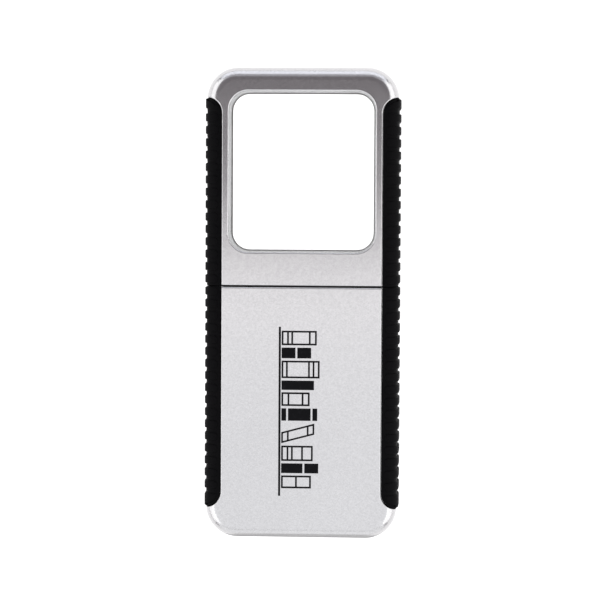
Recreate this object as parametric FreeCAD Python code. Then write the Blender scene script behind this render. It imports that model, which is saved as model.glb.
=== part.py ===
"""Slide-open pocket magnifying glass: a lens head that pulls away from a battery handle and lights a lamp.

The glass lies on its back. X runs across it, Y along it with the lens head at +Y, and Z up out of its front.
The origin is the middle of the back, on the surface that it rests on. All sizes are in millimetres.
"""

import FreeCAD
import Part
import math
import os
from FreeCAD import Vector

# ---- driving dimensions -------------------------------------------------------------------------
LENGTH = 110.0
HALF_WIDTH = 22.4  # of the silver ends; the grip ribs stand RIB_PROUD outside it
THICKNESS = 12.5
CORNER_R = 7.4
EDGE_R = 3.0
SKIN = 1.4  # thickness of the rubber, and of the wall that it replaces
SEAM_Y = 4.0  # where the head meets the handle
SEAM_GAP = 0.34
GRIP_SEAM_GAP = 0.12  # the rubber of the two halves meets more closely than the silver
SLIDE_TRAVEL = 14.0
DOOR_Y = -20.0  # where the battery door meets the fixed back shell

GRIP_INNER_X = 18.7
GRIP_END_Y = 47.95
GRIP_END_R = 3.7
GRIP_GAP = 0.12  # the dark line between rubber and silver
RIB_ROOT_Y = 4.2  # the groove between ribs that falls at the seam
HEAD_RIB_PITCH, HEAD_RIBS = 2.895, 14
HANDLE_RIB_PITCH, HANDLE_RIBS = 2.84, 17
RIB_WIDTH = 1.65
RIB_GROOVE = 1.2
RIB_PROUD = 0.4
RIB_INSET_X = 0.9  # the ribs stop this far short of the grip's inner edge
GRIP_SUNK = 0.28  # the grip's base lies this far under the silver faces

WINDOW_Y = 30.65
WINDOW_HALF = (16.75, 18.38)  # clear opening at the lens
WINDOW_R = 4.2
WINDOW_DRAFT = 0.38  # how much wider each side is at the face
LIP_R = 0.35
BED_LIP_R = 0.25
LENS_RIM_HALF = (17.6, 19.4)
LENS_RIM_R = 5.2
LENS_RIM_Z = (5.6, 6.8)
LENS_BALL_R = 92.0
LENS_THICKNESS = 7.2
LENS_BODY_GAP = 0.2  # between the curved part and the frames' openings
GASKET_T = 0.4

PART_GAP = 0.03  # half the joint between front and back shells
WALL = 1.6
CHANNEL_ROOF_Z = 10.9
CHANNEL_HALF_X = 17.3
TONGUE_HALF_X = 12.5
TONGUE_Z = (6.8, 10.4)
TONGUE_END_Y = -26.0
ROOT_HALF_X = 16.0
ROOT_Y = (5.2, 10.1)
RAIL_CAVITY_Y = (5.05, 10.3)

SCREW_HEAD_R = 1.7
SCREW_HEAD_H = 1.1
SCREW_R = 0.8
BOSS_R = 1.85
HEAD_SCREWS = ((-13.5, 7.6), (13.5, 7.6))
MOUTH_SCREWS = ((-15.6, -4.0), (15.6, -4.0))
END_SCREWS = ((-11.0, -49.4), (11.0, -49.4))

CELL_R = 10.0
CELL_T = 3.2
CELL_Y = -34.0
CELL_Z = 1.75
POCKET_R = 10.3
POCKET_ROOF_Z = 5.4
BOARD_Z = (5.4, 6.2)
BOARD_HALF_X = 12.4
BOARD_Y = (-18.4, 2.2)
METAL_T = 0.2

LED_R = 1.5
LED_FLANGE_R = 1.85
LED_LENGTH = 5.3
LED_TILT = 22.0
LED_TIP = Vector(0, 3.3, 1.36)

TOP_Y = LENGTH / 2
END_Y = -LENGTH / 2
MID_Z = THICKNESS / 2
HEAD_Y0 = SEAM_Y + SEAM_GAP / 2
HANDLE_Y1 = SEAM_Y - SEAM_GAP / 2
FAR = 80.0  # beyond every surface


# ---- small helpers ------------------------------------------------------------------------------
def block(x0, x1, y0, y1, z0, z1):
    return Part.makeBox(x1 - x0, y1 - y0, z1 - z0, Vector(x0, y0, z0))


def peg(x, y, z0, z1, radius):
    return Part.makeCylinder(radius, z1 - z0, Vector(x, y, z0))


def join(shapes):
    shapes = list(shapes)
    return shapes[0].multiFuse(shapes[1:]).removeSplitter() if len(shapes) > 1 else shapes[0]


def both_sides(shape):
    """The shape and its mirror image across the YZ plane."""
    return [shape, shape.mirror(Vector(0, 0, 0), Vector(1, 0, 0))]


def round_outline(half_x, half_y, radius, z, y=0.0):
    """A closed wire: a rectangle with round corners, centred on x = 0 and the given y."""
    cx, cy, k = half_x - radius, half_y - radius, radius * math.sqrt(0.5)
    edges = []
    for sx, sy in ((1, -1), (1, 1), (-1, 1), (-1, -1)):
        mid = Vector(sx * (cx + k), y + sy * (cy + k), z)
        side = Vector(sx * half_x, y + sy * cy, z)
        end = Vector(sx * cx, y + sy * half_y, z)
        start, stop = (end, side) if sx * sy < 0 else (side, end)
        edges.append(Part.Arc(start, mid, stop).toShape())
    lines = [
        Part.LineSegment(a.lastVertex().Point, b.firstVertex().Point).toShape()
        for a, b in zip(edges, edges[1:] + edges[:1])
    ]
    return Part.Wire([e for pair in zip(edges, lines) for e in pair])


def round_plate(half_x, half_y, radius, z0, z1, y=0.0):
    outline = round_outline(half_x, half_y, radius, z0, y)
    return Part.Face(outline).extrude(Vector(0, 0, z1 - z0))


def pebble(grow=0.0, sink=0.0):
    """The magnifier's outer form, grown outwards all round, with its two faces sunk by a further amount."""
    low, high = -grow + sink, THICKNESS + grow - sink
    solid = round_plate(HALF_WIDTH + grow, TOP_Y + grow, CORNER_R + grow, low, high)
    rims = [e for e in solid.Edges if abs(e.BoundBox.ZLength) < 1e-6]
    return solid.makeFillet(EDGE_R + grow, rims)


def grip_zone(side, inset=0.0):
    """Everything that a grip covers when seen from the front, with the silver's round inner corners."""
    inner, end, r = GRIP_INNER_X + inset, GRIP_END_Y - inset, GRIP_END_R - inset
    solid = block(inner, FAR, -end, end, -5, THICKNESS + 5)
    corners = [
        e
        for e in solid.Edges
        if abs(e.BoundBox.ZLength - THICKNESS - 10) < 1e-6 and abs(e.BoundBox.XMin - inner) < 1e-6
    ]
    solid = solid.makeFillet(r, corners)
    return solid if side > 0 else solid.mirror(Vector(0, 0, 0), Vector(1, 0, 0))


def front_half(y0, y1):
    return block(-FAR, FAR, y0, y1, MID_Z + PART_GAP, FAR)


def back_half(y0, y1):
    return block(-FAR, FAR, y0, y1, -FAR, MID_Z - PART_GAP)


def edges_where(shape, test):
    """Edges whose every end and middle point passes the test."""
    found = []
    for e in shape.Edges:
        points = [v.Point for v in e.Vertexes] + [e.valueAt((e.FirstParameter + e.LastParameter) / 2)]
        if all(test(p) for p in points):
            found.append(e)
    return found


def near(a, b):
    return abs(a - b) < 1e-4


# ---- forms that several pieces share ------------------------------------------------------------
def silver_form():
    """The outside of the silver mouldings, with the rubber's beds and a soft edge round each bed."""
    core = pebble(-SKIN)
    form = pebble().cut([grip_zone(side).cut(core) for side in (1, -1)])
    under_skin = pebble(-0.05)

    def round_bed(p):
        by_bed = abs(p.x) > GRIP_INNER_X - 1e-4 and abs(p.y) < GRIP_END_Y + 1e-4
        return by_bed and not under_skin.isInside(p, 1e-3, True)

    return form.makeFillet(BED_LIP_R, edges_where(form, round_bed))


def grip_key_groove(y0, y1):
    """The groove at the parting plane that holds a grip's inner key, on both sides."""
    x = HALF_WIDTH - SKIN
    return both_sides(block(x - 1.1, x + 1, y0, y1, MID_Z - 0.5, MID_Z + 0.5))


def soften_seam(shell, y_face):
    """Rounds the edge where a moulding meets its neighbour across the seam, on its outer face."""

    def on_seam(p):
        return near(p.y, y_face) and abs(p.x) < GRIP_INNER_X + 0.01 and (p.z > 11.2 or p.z < 1.3)

    return shell.makeFillet(LIP_R, edges_where(shell, on_seam))


def window_cutter(z_lens, z_face):
    """The drafted hole over the lens, from the lens's seat out through the face."""
    hx, hy = WINDOW_HALF
    narrow = round_outline(hx, hy, WINDOW_R, z_lens, WINDOW_Y)
    wide = round_outline(hx + WINDOW_DRAFT, hy + WINDOW_DRAFT, WINDOW_R + WINDOW_DRAFT, z_face, WINDOW_Y)
    return Part.makeLoft([narrow, wide], True, True)


def soften_window(frame, z_face):
    """Rounds the lip where the window breaks out through the face."""

    def on_lip(p):
        return near(p.z, z_face) and abs(p.x) < 18.2 and 9.0 < p.y < 52.0

    return frame.makeFillet(LIP_R, edges_where(frame, on_lip))


def lens_pocket(z0, z1):
    hx, hy = LENS_RIM_HALF
    return round_plate(hx + 0.15, hy + 0.15, LENS_RIM_R + 0.15, z0, z1, WINDOW_Y)


def screw_well(x, y, z0, z_end):
    """A counterbore for a screw's head, and the clear hole for its shank."""
    return [
        peg(x, y, z0 - 1, z0 + SCREW_HEAD_H + 0.3, SCREW_HEAD_R + 0.2),
        peg(x, y, z0, z_end, SCREW_R + 0.1),
    ]


def screw(x, y, z0, z_end):
    """A pan-headed screw pointing up, with a cross in its head."""
    head = peg(x, y, z0, z0 + SCREW_HEAD_H, SCREW_HEAD_R)
    head = head.makeFillet(0.5, [e for e in head.Edges if near(e.BoundBox.ZMax, z0) and e.Length > 3])
    shank = peg(x, y, z0 + SCREW_HEAD_H - 0.1, z_end - 0.8, SCREW_R)
    tip = Part.makeCone(SCREW_R, 0.2, 0.8, Vector(x, y, z_end - 0.8))
    slots = [
        block(x - 0.22, x + 0.22, y - 1.0, y + 1.0, z0 - 1, z0 + 0.6),
        block(x - 1.0, x + 1.0, y - 0.22, y + 0.22, z0 - 1, z0 + 0.6),
    ]
    return join([head, shank, tip]).cut(slots)


# ---- the lens head ------------------------------------------------------------------------------
def head_front_frame():
    frame = silver_form().common(front_half(HEAD_Y0, FAR))
    frame = frame.cut(window_cutter(LENS_RIM_Z[1] + GASKET_T - 0.01, THICKNESS))
    frame = frame.cut(lens_pocket(MID_Z - 1, LENS_RIM_Z[1] + GASKET_T))
    cavity = block(-ROOT_HALF_X - 0.2, ROOT_HALF_X + 0.2, *RAIL_CAVITY_Y, MID_Z - 1, CHANNEL_ROOF_Z)
    mouth = block(-TONGUE_HALF_X - 0.2, TONGUE_HALF_X + 0.2, HEAD_Y0 - 1, 6, MID_Z - 1, TONGUE_Z[1] + 0.2)
    frame = frame.cut([cavity, mouth] + grip_key_groove(HEAD_Y0 - 1, GRIP_END_Y - 4))
    bosses = [peg(x, y, TONGUE_Z[0], CHANNEL_ROOF_Z + 0.5, 1.6) for x, y in HEAD_SCREWS]
    pins = [peg(x, 50.7, MID_Z - 1.8, MID_Z + 1, 0.9) for x in (-18.2, 18.2)]
    frame = join([frame] + bosses + pins)
    frame = frame.cut([peg(x, y, MID_Z, 11.4, SCREW_R + 0.05) for x, y in HEAD_SCREWS])
    frame = soften_window(frame, THICKNESS)
    return soften_seam(frame, HEAD_Y0)


def head_back_frame():
    frame = silver_form().common(back_half(HEAD_Y0, FAR))
    frame = frame.cut(window_cutter(LENS_RIM_Z[0] + 0.01, 0.0))
    frame = frame.cut(lens_pocket(LENS_RIM_Z[0], MID_Z + 1))
    hollow = block(-10.5, 10.5, *RAIL_CAVITY_Y, WALL, MID_Z + 1)
    pin_holes = [peg(x, 50.7, MID_Z - 2, MID_Z + 1, 1.0) for x in (-18.2, 18.2)]
    frame = frame.cut([hollow] + pin_holes + grip_key_groove(HEAD_Y0 - 1, GRIP_END_Y - 4))
    ledge = block(-ROOT_HALF_X, ROOT_HALF_X, RAIL_CAVITY_Y[0] + 0.15, 6.4, MID_Z - 0.5, TONGUE_Z[0] - 0.05)
    frame = join([frame, ledge.cut(block(-10.5, 10.5, 0, 20, 0, 20))])
    wells = [w for x, y in HEAD_SCREWS for w in screw_well(x, y, 0.0, FAR)]
    frame = frame.cut(wells)
    frame = soften_window(frame, 0.0)
    return soften_seam(frame, HEAD_Y0)


def magnifying_lens():
    """A biconvex acrylic lens cut to a rounded rectangle, with a thin mounting rim."""
    hx, hy = WINDOW_HALF
    mid_z = sum(LENS_RIM_Z) / 2
    gap = LENS_BODY_GAP
    body = round_plate(hx - gap, hy - gap, WINDOW_R - gap, mid_z - 5, mid_z + 5, WINDOW_Y)
    offset = LENS_BALL_R - LENS_THICKNESS / 2
    for sign in (1, -1):
        body = body.common(Part.makeSphere(LENS_BALL_R, Vector(0, WINDOW_Y, mid_z + sign * offset)))
    rim = round_plate(*LENS_RIM_HALF, LENS_RIM_R, *LENS_RIM_Z, WINDOW_Y)
    return join([body, rim])


def lens_gasket():
    z0 = LENS_RIM_Z[1]
    outer = round_plate(*LENS_RIM_HALF, LENS_RIM_R, z0, z0 + GASKET_T, WINDOW_Y)
    gap = LENS_BODY_GAP - 0.05
    hx, hy = WINDOW_HALF
    inner = round_plate(hx - gap, hy - gap, WINDOW_R - gap, z0 - 1, z0 + 1, WINDOW_Y)
    return outer.cut(inner)


def slide_tongue():
    """The carrier that is screwed into the head and slides in the handle."""
    z0, z1 = TONGUE_Z
    plate = block(-TONGUE_HALF_X, TONGUE_HALF_X, TONGUE_END_Y, ROOT_Y[0] + 1, z0, z1)
    tip_corners = edges_where(plate, lambda p: near(p.y, TONGUE_END_Y) and near(abs(p.x), TONGUE_HALF_X))
    plate = plate.makeFillet(1.5, tip_corners)
    root = block(-ROOT_HALF_X, ROOT_HALF_X, *ROOT_Y, z0, z1)
    nub = block(-3, 3, TONGUE_END_Y + 0.5, TONGUE_END_Y + 2.5, z1 - 0.5, z1 + 0.35)
    bump = peg(TONGUE_HALF_X - 0.55, -12.0, z0 + 0.6, z1 - 0.6, 0.75)
    tongue = join([plate, root, nub] + both_sides(bump))
    arm_slot = block(10.2, 11.0, -22.0, -9.0, z0 - 1, z1 + 1)
    core_out = block(-8.5, 8.5, -20.0, 2.0, z0 + 1.2, z1 + 1)
    core_ribs = [block(-9, 9, y - 0.5, y + 0.5, z0, z1) for y in (-13.5, -9.0, -4.5)]
    tongue = tongue.cut(both_sides(arm_slot) + [core_out.cut(core_ribs)])
    holes = [peg(x, y, z0 - 1, z1 + 1, 1.75) for x, y in HEAD_SCREWS]
    shunt_bed = block(-5.2, 5.2, -25.2, -21.8, z0 - 1, z0 + METAL_T)
    return tongue.cut(holes + [shunt_bed])


def switch_shunt():
    """The metal bridge under the tongue that closes the lamp's circuit when the head is pulled out."""
    plate = block(-5, 5, -25, -22, TONGUE_Z[0] - METAL_T, TONGUE_Z[0] + METAL_T)
    return plate.makeFillet(0.15, [e for e in plate.Edges if near(e.BoundBox.ZLength, 2 * METAL_T)])


def head_screws():
    return [screw(x, y, 0.2, 11.2) for x, y in HEAD_SCREWS]


# ---- the rubber grips ---------------------------------------------------------------------------
def rib_places():
    """The middle of every rib, counted from the groove at the seam both ways."""
    head = [RIB_ROOT_Y + HEAD_RIB_PITCH * (i + 0.5) for i in range(HEAD_RIBS)]
    handle = [RIB_ROOT_Y - HANDLE_RIB_PITCH * (i + 0.5) for i in range(HANDLE_RIBS)]
    return handle + head


def grip(side, y0, y1):
    """One rubber strip: a thin C wrapped round the core, a key into the shells, and cross ribs."""
    core = pebble(-SKIN + 0.05)
    zone = grip_zone(side, GRIP_GAP)
    strip = pebble(0.0, GRIP_SUNK).common(zone).cut(core)
    reach = pebble(RIB_PROUD, RIB_PROUD).common(grip_zone(side, RIB_INSET_X)).cut(core)
    half = RIB_WIDTH / 2
    bars = [block(-FAR, FAR, y - half, y + half, -5, THICKNESS + 5) for y in rib_places()]
    head_pad_y = RIB_ROOT_Y + HEAD_RIB_PITCH * HEAD_RIBS + RIB_GROOVE / 2
    handle_pad_y = RIB_ROOT_Y - HANDLE_RIB_PITCH * HANDLE_RIBS - RIB_GROOVE / 2
    pads = [block(-FAR, FAR, head_pad_y, FAR, -5, FAR), block(-FAR, FAR, -FAR, handle_pad_y, -5, FAR)]
    ribs = reach.common(Part.makeCompound(bars + pads))
    x = side * (HALF_WIDTH - SKIN)
    x0, x1 = sorted((x - side, x + side * 0.3))
    key = block(x0, x1, -43.5, 43.5, MID_Z - 0.45, MID_Z + 0.45)
    whole = join([strip, key] + ribs.Solids)
    return whole.common(block(-FAR, FAR, y0, y1, -FAR, FAR))


# ---- the handle ---------------------------------------------------------------------------------
def led_axis():
    tilt = math.radians(LED_TILT)
    return Vector(0, math.cos(tilt), -math.sin(tilt))


def led_point(back_from_tip):
    return LED_TIP - led_axis() * back_from_tip


def light_port():
    """The clear way for the lamp out of the handle's mouth, flared towards the page."""
    bore = Part.makeCylinder(LED_R + 0.15, 12, led_point(6.5), led_axis())
    flare = Part.makeCone(LED_R + 0.15, LED_R + 3.3, 5, led_point(2.2), led_axis())
    flange_seat = Part.makeCylinder(LED_FLANGE_R + 0.1, 1.6, led_point(LED_LENGTH + 0.3), led_axis())
    return [bore, flare, flange_seat]


def handle_front_shell():
    shell = silver_form().common(front_half(-FAR, HANDLE_Y1))
    half_x, y0, y1 = CHANNEL_HALF_X, END_Y + 3.4, HANDLE_Y1 + 1
    channel = block(-half_x, half_x, y0, y1, MID_Z - 1, CHANNEL_ROOF_Z)
    far_corners = edges_where(channel, lambda p: near(p.y, y0) and near(abs(p.x), half_x))
    channel = channel.makeFillet(4.0, far_corners)
    shell = shell.cut([channel] + grip_key_groove(-GRIP_END_Y + 4, y1))
    rail_x = TONGUE_HALF_X + 0.25
    rail = block(rail_x, rail_x + 0.8, -40, HANDLE_Y1, MID_Z + 0.3, CHANNEL_ROOF_Z + 0.2)
    runner = block(7.4, 8.4, -40, HANDLE_Y1, TONGUE_Z[1] + 0.1, CHANNEL_ROOF_Z + 0.2)
    stop_y = TONGUE_END_Y + 2.5 + SLIDE_TRAVEL + 0.2
    stop = block(-3.5, 3.5, stop_y, stop_y + 1.0, TONGUE_Z[1] + 0.08, CHANNEL_ROOF_Z + 0.2)
    bosses = [
        peg(x, y, MID_Z + PART_GAP, CHANNEL_ROOF_Z + 0.2, BOSS_R) for x, y in MOUTH_SCREWS + END_SCREWS
    ]
    shell = join([shell] + both_sides(rail) + both_sides(runner) + [stop] + bosses)
    notches = [
        block(TONGUE_HALF_X, TONGUE_HALF_X + 0.65, y - 0.9, y + 0.9, MID_Z, CHANNEL_ROOF_Z)
        for y in (-12.0, -12.0 + SLIDE_TRAVEL)
    ]
    pilots = [peg(x, y, MID_Z, 11.4, SCREW_R + 0.05) for x, y in MOUTH_SCREWS + END_SCREWS]
    shell = shell.cut([n for notch in notches for n in both_sides(notch)] + pilots)
    return soften_seam(shell, HANDLE_Y1)


def door_rail_slot():
    """The way in the back shell for the door's rails, open at the end of the handle."""
    web = block(16.15, 17.25, END_Y - 1, -23.5, 0, 3.45)
    lip = block(17.0, 18.35, END_Y - 1, -23.5, 2.35, 3.45)
    return both_sides(web.fuse(lip))


def handle_back_shell():
    """The fixed back: its outer skin near the mouth, and the inner tray that the battery door covers."""
    outer = soften_seam(silver_form().common(back_half(DOOR_Y, HANDLE_Y1)), HANDLE_Y1)
    under_door = block(-GRIP_INNER_X - 0.05, GRIP_INNER_X + 0.05, -FAR, DOOR_Y, 0, WALL)
    tray = pebble(-SKIN).common(back_half(-FAR, DOOR_Y)).cut(under_door)
    shell = join([outer, tray])
    board_room = block(-13.0, 13.0, DOOR_Y + 1.2, HANDLE_Y1 - 1.2, WALL, MID_Z + 1)
    pocket = peg(0, CELL_Y, 0, POCKET_ROOF_Z, POCKET_R)
    side_wells = both_sides(block(11.8, 15.2, -45.5, -23.0, 0, POCKET_ROOF_Z))
    end_well = block(-7.5, 7.5, -52.0, -46.5, 0, POCKET_ROOF_Z)
    negative_slot = block(-2.2, 2.2, CELL_Y, DOOR_Y + 2, 5.1, POCKET_ROOF_Z)
    positive_slot = block(4.0, 8.6, -28.0, DOOR_Y + 2, 5.1, POCKET_ROOF_Z)
    shell = shell.cut([board_room, pocket, end_well, negative_slot, positive_slot] + side_wells)
    shell = shell.cut(door_rail_slot() + grip_key_groove(-GRIP_END_Y + 4, HANDLE_Y1 + 1))
    pads = [
        block(-TONGUE_HALF_X, TONGUE_HALF_X, HANDLE_Y1 - 1.2, HANDLE_Y1, MID_Z - 1, TONGUE_Z[0] - 0.08),
        *both_sides(block(9.0, 11.5, -45.0, DOOR_Y, MID_Z - 0.5, TONGUE_Z[0] - 0.08)),
    ]
    posts = [peg(x, y, WALL - 0.2, MID_Z - PART_GAP, BOSS_R + 0.4) for x, y in MOUTH_SCREWS]
    board_rests = [block(x, x + 1.2, -17.0, -15.0, WALL - 0.1, BOARD_Z[0]) for x in (-12.0, 10.8)]
    shell = join([shell] + pads + posts + board_rests)
    wells = [w for x, y in MOUTH_SCREWS for w in screw_well(x, y, 0.0, FAR)]
    wells += [w for x, y in END_SCREWS for w in screw_well(x, y, WALL, FAR)]
    return shell.cut(wells + light_port())


def battery_door():
    """The lower back panel with the handle's rounded end, on two rails, with a thumb grip and an arrow."""
    y1 = DOOR_Y - 0.2
    door = silver_form().common(back_half(-FAR, y1)).cut(pebble(-SKIN + 0.12))
    rails = []
    for y0 in (-46.0, -29.0):
        web = block(16.3, 17.1, y0, y0 + 4.5, SKIN - 0.4, 3.3)
        lip = block(16.9, 18.2, y0, y0 + 4.5, 2.5, 3.3)
        rails += both_sides(web.fuse(lip))
    latch = Part.makeCylinder(0.8, 8.0, Vector(-4, y1 - 1.4, 0.74), Vector(1, 0, 0))
    latch = latch.common(block(-5, 5, -FAR, 0, 1.0, FAR))
    door = join([door, latch] + rails)
    grooves = [block(-7, 7, -45.6 + 1.5 * i, -44.9 + 1.5 * i, -1, 0.35) for i in range(5)]
    tip_y, arrow_y = -35.6, -32.6
    corners = [Vector(0, tip_y, -1), Vector(-2.4, arrow_y, -1), Vector(2.4, arrow_y, -1)]
    arrow = Part.Face(Part.makePolygon(corners + corners[:1])).extrude(Vector(0, 0, 1.3))
    return door.cut(grooves + [arrow])


def case_screws():
    mouth = [screw(x, y, 0.2, 11.2) for x, y in MOUTH_SCREWS]
    return mouth + [screw(x, y, WALL + 0.2, 11.2) for x, y in END_SCREWS]


def circuit_board():
    board = block(-BOARD_HALF_X, BOARD_HALF_X, *BOARD_Y, *BOARD_Z)
    corners = [e for e in board.Edges if near(e.BoundBox.ZLength, BOARD_Z[1] - BOARD_Z[0])]
    board = board.makeFillet(1.0, corners)
    lead_holes = [peg(x, -4.4, 0, 10, 0.35) for x in (-0.64, 0.64)]
    return board.cut(lead_holes)


def led_lamp():
    """A 3 mm lamp: domed epoxy body on a flange, tilted towards the page."""
    axis = led_axis()
    body = Part.makeCylinder(LED_R, LED_LENGTH - LED_R, led_point(LED_LENGTH), axis)
    dome = Part.makeSphere(LED_R, led_point(LED_R))
    flange = Part.makeCylinder(LED_FLANGE_R, 1.0, led_point(LED_LENGTH), axis)
    return join([body, dome, flange])


def led_leads():
    """Two legs from the lamp's base, bent up through the board."""
    leads = []
    base = led_point(LED_LENGTH)
    for x in (-0.64, 0.64):
        start, corner = base + Vector(x, 0, 0), Vector(x, -4.4, base.z + 0.9)
        run = corner - start
        bend = Part.makeSphere(0.25, corner)
        leg = Part.makeCylinder(0.25, run.Length, start, run)
        pin = Part.makeCylinder(0.25, BOARD_Z[1] + 0.2 - corner.z, corner)
        leads.append(join([leg, bend, pin]).cut(led_lamp()))
    return leads


def led_holder():
    """The black block that grips the lamp at its angle."""
    holder = block(-2.9, 2.9, -2.3, 0.4, WALL + 0.02, BOARD_Z[0] - 0.05)
    bore = Part.makeCylinder(LED_R + 0.05, 12, led_point(9), led_axis())
    seat = Part.makeCylinder(LED_FLANGE_R + 0.05, 5, led_point(LED_LENGTH + 3.95), led_axis())
    return holder.cut([bore, seat, block(-1.2, 1.2, -3, -1.0, 2.5, 6)])


def resistor():
    """An axial resistor under the board, with its two bent leads."""
    x, y, z = 7.0, -9.0, 3.9
    body = Part.makeCylinder(0.78, 3.0, Vector(x - 1.5, y, z), Vector(1, 0, 0))
    for s in (-1, 1):
        cap = Part.makeCylinder(0.95, 1.1, Vector(x + s * 1.3 - 0.55, y, z), Vector(1, 0, 0))
        body = body.fuse(cap.makeFillet(0.35, [e for e in cap.Edges if e.Length > 5]))
    wire = Part.makeCylinder(0.25, 6.4, Vector(x - 3.2, y, z), Vector(1, 0, 0))
    pins = [peg(x + s * 2.95, y, z - 0.25, BOARD_Z[0], 0.25) for s in (-1, 1)]
    return join([body, wire] + pins)


def coin_cell():
    """A 20 mm lithium cell: a wide can below, and a narrower cap above its crimped rim."""
    z0, z1 = CELL_Z, CELL_Z + CELL_T
    can = peg(0, CELL_Y, z0, z1 - 0.45, CELL_R)
    can = can.makeFillet(0.35, [e for e in can.Edges if e.Length > 40])
    cap = peg(0, CELL_Y, z0 + 1, z1, CELL_R - 1.3)
    cap = cap.makeFillet(0.3, [e for e in cap.Edges if near(e.BoundBox.ZMin, z1) and e.Length > 40])
    return join([can, cap])


def negative_contact():
    """The strip along the pocket's roof, with a finger bowed down to the cell's cap."""
    strip = block(-2, 2, CELL_Y + 1, -15.0, POCKET_ROOF_Z - METAL_T, POCKET_ROOF_Z)
    low_z = CELL_Z + CELL_T + 0.01
    finger = Part.makeCylinder(0.35, 4, Vector(-2, CELL_Y + 1.3, low_z + 0.35), Vector(1, 0, 0))
    finger = finger.common(block(-3, 3, -FAR, FAR, 0, POCKET_ROOF_Z - METAL_T + 0.05))
    return join([strip, finger])


def positive_contact():
    """The curved strip that touches the can's side, and its tab out to the board."""
    outer, inner = CELL_R + 0.05 + METAL_T, CELL_R + 0.05
    ring = peg(0, CELL_Y, 2.4, POCKET_ROOF_Z, outer).cut(peg(0, CELL_Y, 2, 6, inner))
    curved = ring.common(block(4.4, 8.2, CELL_Y, FAR, 0, FAR))
    tab = block(4.6, 8.0, -27.6, -15.0, POCKET_ROOF_Z - METAL_T, POCKET_ROOF_Z)
    tab = tab.cut(peg(0, CELL_Y, 2, 6, inner))
    return join([curved, tab])


def switch_contacts():
    """Two springy leaves on the board, side by side, that the shunt bridges when the head is out."""
    leaves = []
    z0, z1 = BOARD_Z[1], BOARD_Z[1] + 0.15
    bow_z = TONGUE_Z[0] - METAL_T - 0.02 - 1.2
    across = Vector(1, 0, 0)
    for x in (-3.2, 3.2):
        foot = block(x - 1, x + 1, -12.2, -9.9, z0, z1)
        heel = block(x - 1, x + 1, -8.8, -7.4, z0, z1)
        bow = Part.makeCylinder(1.2, 2.0, Vector(x - 1, -9.5, bow_z), across)
        bow = bow.cut(Part.makeCylinder(1.05, 4, Vector(x - 2, -9.5, bow_z), across))
        bow = bow.common(block(x - 1, x + 1, -12, -7, z0, FAR))
        leaves.append(join([foot, bow, heel]))
    return leaves


def export(name, shape):
    solids = shape if isinstance(shape, list) else shape.Solids
    solid = solids[0] if len(solids) == 1 else Part.makeCompound(solids)
    print(f"{name:22s} solids {len(solids)} valid {solid.isValid()} volume {solid.Volume:9.2f}")
    solid.exportStep(f"parts/{name}.step")


def main():
    os.makedirs("parts", exist_ok=True)
    head_span = (SEAM_Y + GRIP_SEAM_GAP / 2, FAR)
    handle_span = (-FAR, SEAM_Y - GRIP_SEAM_GAP / 2)
    pieces = {
        "head_front_frame": head_front_frame(),
        "head_back_frame": head_back_frame(),
        "magnifying_lens": magnifying_lens(),
        "lens_gasket": lens_gasket(),
        "slide_tongue": slide_tongue(),
        "switch_shunt": switch_shunt(),
        "head_screws": head_screws(),
        "head_grip_left": grip(-1, *head_span),
        "head_grip_right": grip(1, *head_span),
        "handle_front_shell": handle_front_shell(),
        "handle_back_shell": handle_back_shell(),
        "handle_grip_left": grip(-1, *handle_span),
        "handle_grip_right": grip(1, *handle_span),
        "battery_door": battery_door(),
        "case_screws": case_screws(),
        "circuit_board": circuit_board(),
        "led_lamp": led_lamp(),
        "led_leads": led_leads(),
        "led_holder": led_holder(),
        "resistor": resistor(),
        "coin_cell": coin_cell(),
        "negative_contact": negative_contact(),
        "positive_contact": positive_contact(),
        "switch_contacts": switch_contacts(),
    }
    for name, shape in pieces.items():
        export(name, shape)


main()
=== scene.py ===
"""The looks of a slide-open pocket magnifying glass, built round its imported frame.

The glass lies on its back with the lens head at +Y and its front face up. Sizes in the classes are
millimetres, but the stage's are metres.
"""

import logging
import math
from collections.abc import Mapping, Sequence
from dataclasses import dataclass
from enum import Enum

import bmesh
import bpy
from mathutils import Matrix, Vector


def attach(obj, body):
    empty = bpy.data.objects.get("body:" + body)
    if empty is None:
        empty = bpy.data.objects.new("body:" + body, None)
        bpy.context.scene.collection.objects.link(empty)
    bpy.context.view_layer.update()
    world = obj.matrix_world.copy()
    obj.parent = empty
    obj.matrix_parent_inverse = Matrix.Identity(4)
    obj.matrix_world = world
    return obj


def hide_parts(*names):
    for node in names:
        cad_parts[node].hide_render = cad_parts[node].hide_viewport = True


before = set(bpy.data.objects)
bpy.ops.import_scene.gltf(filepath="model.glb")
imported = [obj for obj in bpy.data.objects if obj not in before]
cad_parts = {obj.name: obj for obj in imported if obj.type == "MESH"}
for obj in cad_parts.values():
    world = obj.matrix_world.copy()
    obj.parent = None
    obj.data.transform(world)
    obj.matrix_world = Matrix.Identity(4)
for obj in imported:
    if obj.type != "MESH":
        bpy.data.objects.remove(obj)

log = logging.getLogger("magnifier")

MM = 0.001
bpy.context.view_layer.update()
SEED = 7

Colour = tuple[float, float, float]
Point2 = tuple[float, float]
Point3 = tuple[float, float, float]
Profile = list[Point2]


class Body(Enum):
    """The rigid bodies that the new pieces ride on."""

    HANDLE = "handle"
    HEAD = "head"


class Side(Enum):
    """Which long side of the glass a grip is on, as the sign of X."""

    LEFT = -1
    RIGHT = 1


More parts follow.
